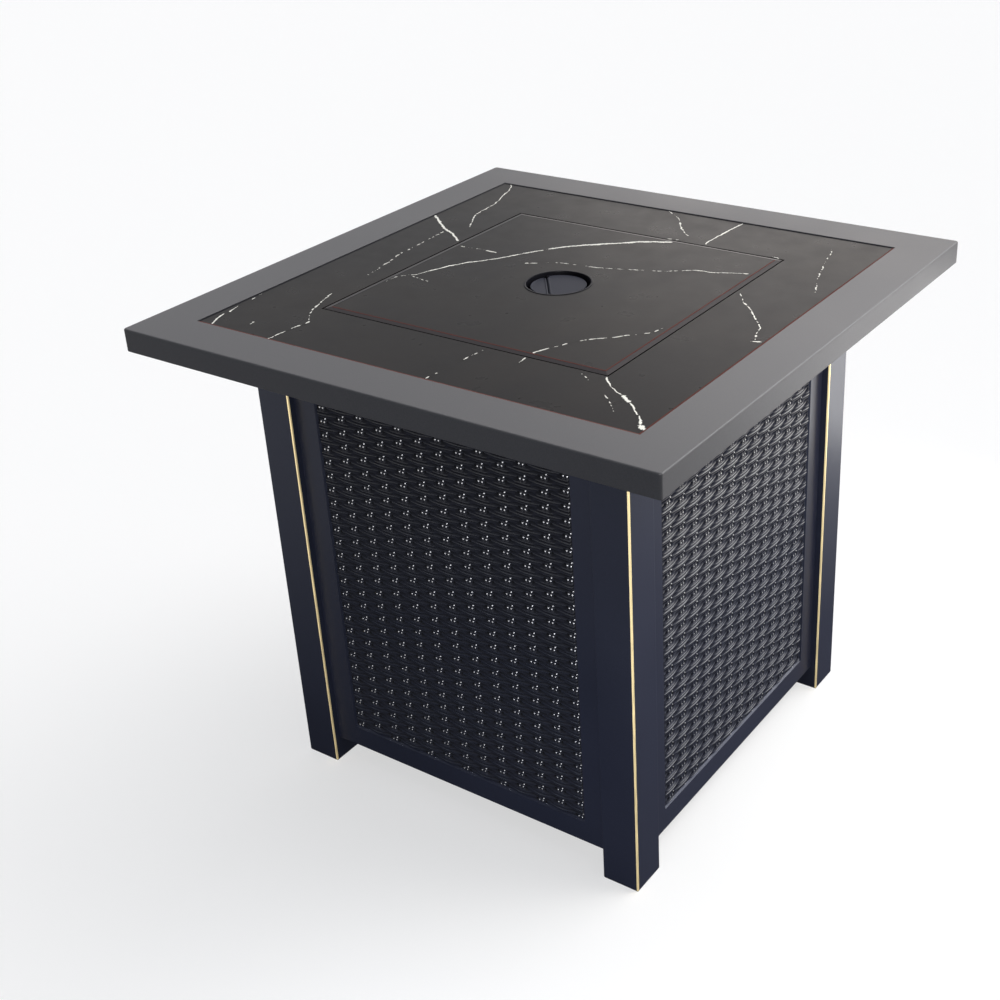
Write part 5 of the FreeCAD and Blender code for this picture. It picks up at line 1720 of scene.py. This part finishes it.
@dataclass(frozen=True)
class RearFittings:
    """Door, its hinge and catch, and the gas controls above it."""

    knob_radius: float = 19.8 * MM
    knob_back: float = 252 * MM
    knob_length: float = 24 * MM
    knob_height: float = 538 * MM
    bore_radius: float = 4.05 * MM
    bore_depth: float = 14.3 * MM
    flutes: int = 30
    flute_facets: int = 8
    flute_depth: float = 0.55 * MM
    grip_half: float = 4.3 * MM
    grip_reach: float = 17.4 * MM
    grip_front: float = 5.8 * MM
    pointer_half: float = 0.65 * MM
    pointer_from: float = 3 * MM
    pointer_to: float = 15 * MM

    def knob_place(self, across: float, up: float, out: float) -> Vector:
        """A place on the knob, from its axis and its back."""
        return Vector((across, self.knob_back + out, self.knob_height + up))

    def knob_body(self) -> Skin:
        """Turned body of the knob, with its bore, its collar and its fluted side.

        Returns:
            Its skin.
        """
        radius, length, segments = self.knob_radius, self.knob_length, self.flutes * self.flute_facets
        # Each corner is its radius, its distance from the back and how deep the flutes are there.
        outline = (
            (self.bore_radius, self.bore_depth, 0.0),
            (self.bore_radius, 0.0, 0.0),
            (radius - 0.5 * MM, 0.0, 0.0),
            (radius, 0.5 * MM, 0.0),
            (radius, 2.6 * MM, 0.0),
            (radius - 0.4 * MM, 3.1 * MM, 0.0),
            (radius - 1.3 * MM, 3.5 * MM, 0.0),
            (radius - 1.4 * MM, 4.6 * MM, 1.0),
            (radius - 1.8 * MM, length - 3.4 * MM, 1.0),
            (radius - 2.0 * MM, length - 2.3 * MM, 0.4),
            (radius - 2.6 * MM, length - 1.1 * MM, 0.0),
            (radius - 3.6 * MM, length - 0.4 * MM, 0.0),
            (radius - 4.8 * MM, length - 0.1 * MM, 0.0),
            (4.0 * MM, length, 0.0),
        )
        loops = []
        for reach, out, fluted in outline:
            loop = []
            for i in range(segments):
                angle = 2 * math.pi * i / segments
                here = reach - fluted * self.flute_depth * (0.5 - 0.5 * math.cos(self.flutes * angle))
                loop.append(self.knob_place(here * math.cos(angle), here * math.sin(angle), out))
            loops.append(loop)
        return bridge(loops, closed=False, capped=True)

    def raised_bar(
        self, half: float, low: float, high: float, radius: float, steps: int, layers: Sequence[Point]
    ) -> Skin:
        """Bar with rounded corners, standing on the knob's face.

        Args:
            half: half its width.
            low: its lower end, from the knob's axis.
            high: its upper end.
            radius: radius of its corners.
            steps: facets of each corner.
            layers: (inset, distance from the face) of each loop, in millimetres.

        Returns:
            Its skin.
        """
        corners = ((-half, low), (half, low), (half, high), (-half, high))
        plan = rounded([(x, z, radius) for x, z in corners], steps)
        rings = []
        for inset, out in layers:
            smaller = inset_outline(plan, inset * MM) if inset else plan
            rings.append([self.knob_place(x, z, self.knob_length + out * MM) for x, z in smaller])
        return bridge(rings, closed=False, capped=True)

    def build_knob(self, finishes: Finishes) -> None:
        """Fluted knob with a rounded rim, a grip bar and a white pointer.

        Args:
            finishes: the finishes.
        """
        half, reach, front = self.grip_half, self.grip_reach, self.grip_front / MM
        layers = ((0.0, -0.6), (0.1, 3.6), (0.35, 4.9), (0.9, 5.55), (1.7, front))
        bar = self.raised_bar(half, -reach, reach, half - 0.01 * MM, 8, layers)
        knob = mesh_object("knob_fluted", *joined((self.knob_body(), bar)), finishes.knob)
        settle(knob, Body.KNOB, ("control_knob",))
        half, layers = self.pointer_half, ((0.0, front - 0.2), (0.0, front + 0.08), (0.15, front + 0.16))
        line = self.raised_bar(half, self.pointer_from, self.pointer_to, half * 0.9, 5, layers)
        settle(mesh_object("knob_pointer", *line, finishes.mark), Body.KNOB)

    def build(self, finishes: Finishes) -> None:
        """Build the knob and dress the rest of the rear.

        Args:
            finishes: the finishes.
        """
        self.build_knob(finishes)
        dress(("access_door", "control_panel"), finishes.body)
        dress(("door_pull",), finishes.pull)
        dress(("hinge_pins",), finishes.stainless)
        dress(("catch_strike",), finishes.galvanised)
        dress(("catch_magnet", "igniter_body"), finishes.plastic)
        dress(("igniter_button",), finishes.button)
        dress(("valve_stem",), finishes.stainless)
        dress(("valve_body",), finishes.brass)
        dress(("feed_tube",), finishes.tube)


# ---------------------------------------------------------------- burner


@dataclass(frozen=True)
class Burner:
    """Pan, burner, grate and the lava stones on it."""

    cuts: int = 4
    roundness: float = 0.35
    roughness: float = 1.6 * MM
    bump_size: float = 9 * MM
    fine_share: float = 0.3

    def build_stones(self, finishes: Finishes) -> None:
        """Rough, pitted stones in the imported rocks' places.

        Args:
            finishes: the finishes.
        """
        source = frame["nodes"]["lava_rocks"].data
        shell = bmesh.new()
        shell.from_mesh(source)
        bmesh.ops.remove_doubles(shell, verts=shell.verts, dist=1e-5)
        bmesh.ops.subdivide_edges(
            shell, edges=shell.edges, cuts=self.cuts, use_grid_fill=True, smooth=self.roundness
        )
        shell.normal_update()
        moved = []
        for point in shell.verts:
            coarse = noise.noise(point.co / self.bump_size)
            fine = noise.noise(point.co / (self.bump_size * self.fine_share) + Vector((7, 0, 0)))
            moved.append(point.co - point.normal * (self.roughness * (0.9 + coarse + 0.5 * fine)))
        for point, place in zip(shell.verts, moved):
            point.co = place
        mesh = bpy.data.meshes.new("lava_stones")
        shell.to_mesh(mesh)
        shell.free()
        mesh.shade_smooth()
        mesh.materials.clear()
        mesh.materials.append(finishes.lava)
        settle(add_object("lava_stones", mesh), Body.TABLE, ("lava_rocks",))

    def build(self, finishes: Finishes) -> None:
        """Build the stones and dress the burner.

        Args:
            finishes: the finishes.
        """
        self.build_stones(finishes)
        dress(("burner_pan", "burner_ring", "burner_nut", "pan_screws", "air_mixer"), finishes.stainless)
        dress(("heat_shield", "electrode_bracket"), finishes.galvanised)
        dress(("ignition_electrode",), finishes.ceramic)
        dress(("thermocouple",), finishes.brass)
        dress(("rock_grate",), finishes.iron)


# ---------------------------------------------------------------- studio


@dataclass(frozen=True)
class Sun:
    """A broad soft light from far away, or one that only gives gloss its highlights.

    Its share is how light it makes a white card that faces it.
    """

    name: str
    towards: Place
    share: float
    width_degrees: float
    colour: Colour = (1.0, 1.0, 1.0)
    highlights_only: bool = False

    def build(self) -> None:
        """Hang the light."""
        lamp = bpy.data.lights.new(self.name, "SUN")
        lamp.energy = WHITE_IRRADIANCE * self.share
        lamp.angle = math.radians(self.width_degrees)
        lamp.color = self.colour
        made = add_object(self.name, lamp)
        made.visible_diffuse = not self.highlights_only
        made.rotation_mode = "QUATERNION"
        made.rotation_quaternion = Vector(self.towards).normalized().to_track_quat("Z", "Y")


@dataclass(frozen=True)
class SoftBox:
    """Square soft lamp near the table, so that its light falls away with distance."""

    name: str
    place: Place
    aim: Place
    side: float
    watts: float
    colour: Colour = (1.0, 1.0, 1.0)

    def build(self) -> None:
        """Hang the light."""
        lamp = bpy.data.lights.new(self.name, "AREA")
        lamp.energy, lamp.size, lamp.color = self.watts, self.side, self.colour
        made = add_object(self.name, lamp)
        made.visible_camera = False
        made.location = self.place
        made.rotation_mode = "QUATERNION"
        made.rotation_quaternion = (Vector(self.place) - Vector(self.aim)).to_track_quat("Z", "Y")


LAMPS = (
    Sun("overhead", (0.1, 0.25, 1.0), 0.38, 60.0),
    Sun("window", (0.42, 0.78, 0.46), 0.72, 70.0, (1.0, 0.98, 0.96)),
    SoftBox("right_softbox", (0.72, 0.06, 0.83), (0.3, 0.04, 0.5), 0.42, 3.1, (1.0, 0.99, 0.97)),
    SoftBox("front_softbox", (0.3, -0.8, 0.08), (0.1, -0.25, 0.12), 0.3, 1.1, (0.84, 0.9, 1.0)),
    SoftBox("rear_softbox", (0.56, 0.87, 0.21), (0.257, 0.1, 0.24), 0.36, 1.5, (1.0, 0.98, 0.95)),
    Sun("back_glow", (-0.38, 0.90, 0.21), 0.1, 24.0, (1.0, 0.92, 0.86), highlights_only=True),
    Sun("right_glow", (0.42, 0.76, 0.5), 0.6, 40.0, (1.0, 1.0, 0.96), highlights_only=True),
    Sun("spark", (0.484, -0.775, 0.407), 3.0, 6.0, highlights_only=True),
)


@dataclass(frozen=True)
class Studio:
    """Pale floor, soft lights, white surroundings and the camera."""

    place: Place = (0.977, -1.375, 1.250)
    yaw: float = 35.18
    pitch: float = 27.68
    roll: float = -2.50
    lens: float = 54.443
    sensor: float = 36.0
    shift: tuple[float, float] = (-0.0721, -0.0266)
    ambient: float = 0.25
    ambient_colour: Colour = (0.82, 0.87, 1.0)
    floor_half: float = 14.0
    floor_pale: Colour = (0.4, 0.4, 0.4)
    floor_dull: Colour = (0.09, 0.09, 0.1)
    floor_glow: float = 0.6
    shade_from: float = 0.5
    shade_to: float = 1.6
    shade_level: float = 0.12

    def build_camera(self) -> None:
        """Set the camera on the table's front right corner, looking down."""
        data = bpy.data.cameras.new("camera")
        data.sensor_width = self.sensor
        data.lens = self.lens
        data.shift_x, data.shift_y = self.shift
        yaw, pitch, roll = (math.radians(a) for a in (self.yaw, self.pitch, self.roll))
        ahead = Vector((-math.sin(yaw) * math.cos(pitch), math.cos(yaw) * math.cos(pitch), -math.sin(pitch)))
        right = Vector((math.cos(yaw), math.sin(yaw), 0.0))
        up = right.cross(ahead)
        across = math.cos(roll) * right + math.sin(roll) * up
        upright = -math.sin(roll) * right + math.cos(roll) * up
        turn = Matrix((across, upright, -ahead)).transposed()
        camera = add_object("camera", data)
        camera.matrix_world = Matrix.Translation(Vector(self.place)) @ turn.to_4x4()
        bpy.context.scene.camera = camera

    def seen_rays(self, tree: bpy.types.NodeTree) -> bpy.types.NodeSocket:
        """Tell apart the rays that look at a background: camera, mirror and glass rays.

        Args:
            tree: the node tree that asks.

        Returns:
            1 for such a ray, 0 for one that carries light.
        """
        path = tree.nodes.new("ShaderNodeLightPath")
        total = path.outputs["Is Camera Ray"]
        for name in ("Is Glossy Ray", "Is Transmission Ray"):
            either = tree.nodes.new("ShaderNodeMath")
            either.operation = "MAXIMUM"
            tree.links.new(total, either.inputs[0])
            tree.links.new(path.outputs[name], either.inputs[1])
            total = either.outputs[0]
        return total

    def build_world(self) -> None:
        """White surroundings to look at, and a dim even light from them."""
        world = bpy.data.worlds.new("studio")
        world.use_nodes = True
        tree = world.node_tree
        dim = tree.nodes["Background"]
        dim.inputs["Color"].default_value = (*self.ambient_colour, 1.0)
        dim.inputs["Strength"].default_value = self.ambient
        bright = tree.nodes.new("ShaderNodeBackground")
        bright.inputs["Color"].default_value = (1.0, 1.0, 1.0, 1.0)
        bright.inputs["Strength"].default_value = 1.0
        choose = tree.nodes.new("ShaderNodeMixShader")
        tree.links.new(self.seen_rays(tree), choose.inputs[0])
        tree.links.new(dim.outputs[0], choose.inputs[1])
        tree.links.new(bright.outputs[0], choose.inputs[2])
        tree.links.new(choose.outputs[0], tree.nodes["World Output"].inputs["Surface"])
        bpy.context.scene.world = world

    def build_floor(self) -> None:
        """Pale floor that keeps the table's shadow.

        It throws little light back at the table, and what gloss mirrors of it near the table is darker:
        painted shade.
        """
        half = self.floor_half
        corners = [(-half, -half, 0), (half, -half, 0), (half, half, 0), (-half, half, 0)]
        mesh = bpy.data.meshes.new("floor")
        mesh.from_pydata(corners, [], [(0, 1, 2, 3)])
        sheet = ShaderSheet("floor_paint")
        tree = sheet.tree
        tree.nodes.remove(sheet.surface)
        seen = self.seen_rays(tree)
        pale = sheet.node("BsdfDiffuse", {"Color": self.floor_pale})
        glow = sheet.node("Emission", {"Color": (1.0, 1.0, 1.0), "Strength": self.floor_glow})
        both = sheet.node("AddShader", {0: pale.outputs[0], 1: glow.outputs[0]})
        dull = sheet.node("BsdfDiffuse", {"Color": self.floor_dull})
        # What gloss mirrors of the floor is darker near the table: painted shade.
        place = sheet.node("NewGeometry").outputs["Position"]
        away = sheet.node("VectorMath", {0: place}, operation="LENGTH").outputs["Value"]
        shaded = sheet.span(away, self.shade_from, self.shade_to, self.shade_level)
        mirrored = sheet.node("LightPath").outputs["Is Glossy Ray"]
        lost = sheet.maths("MULTIPLY", mirrored, sheet.maths("SUBTRACT", shaded, 1.0))
        share = sheet.maths("ADD", 1.0, lost)
        black = sheet.node("Emission", {"Color": (0.0, 0.0, 0.0), "Strength": 0.0})
        fading = sheet.node("MixShader", {0: share, 1: black.outputs[0], 2: both.outputs[0]})
        choose = sheet.node("MixShader", {0: seen, 1: dull.outputs[0], 2: fading.outputs[0]})
        tree.links.new(choose.outputs[0], tree.nodes["Material Output"].inputs["Surface"])
        mesh.materials.append(sheet.material)
        add_object("floor", mesh)

    def build(self) -> None:
        """Set up the whole studio."""
        self.build_camera()
        self.build_world()
        self.build_floor()
        for lamp in LAMPS:
            lamp.build()
        bpy.context.scene.view_settings.view_transform = "Standard"


# ---------------------------------------------------------------- main


def main() -> None:
    """Build every sub-assembly in order, then the studio."""
    logging.basicConfig(level=logging.INFO, format="%(name)s: %(message)s")
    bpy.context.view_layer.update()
    finishes = Finishes.make()
    TableTop().build(finishes)
    MarbleVeins().build(finishes)
    LiftOffLid().build(finishes)
    Cabinet().build(finishes)
    RearFittings().build(finishes)
    Burner().build(finishes)
    Studio().build()


if __name__ == "__main__":
    main()
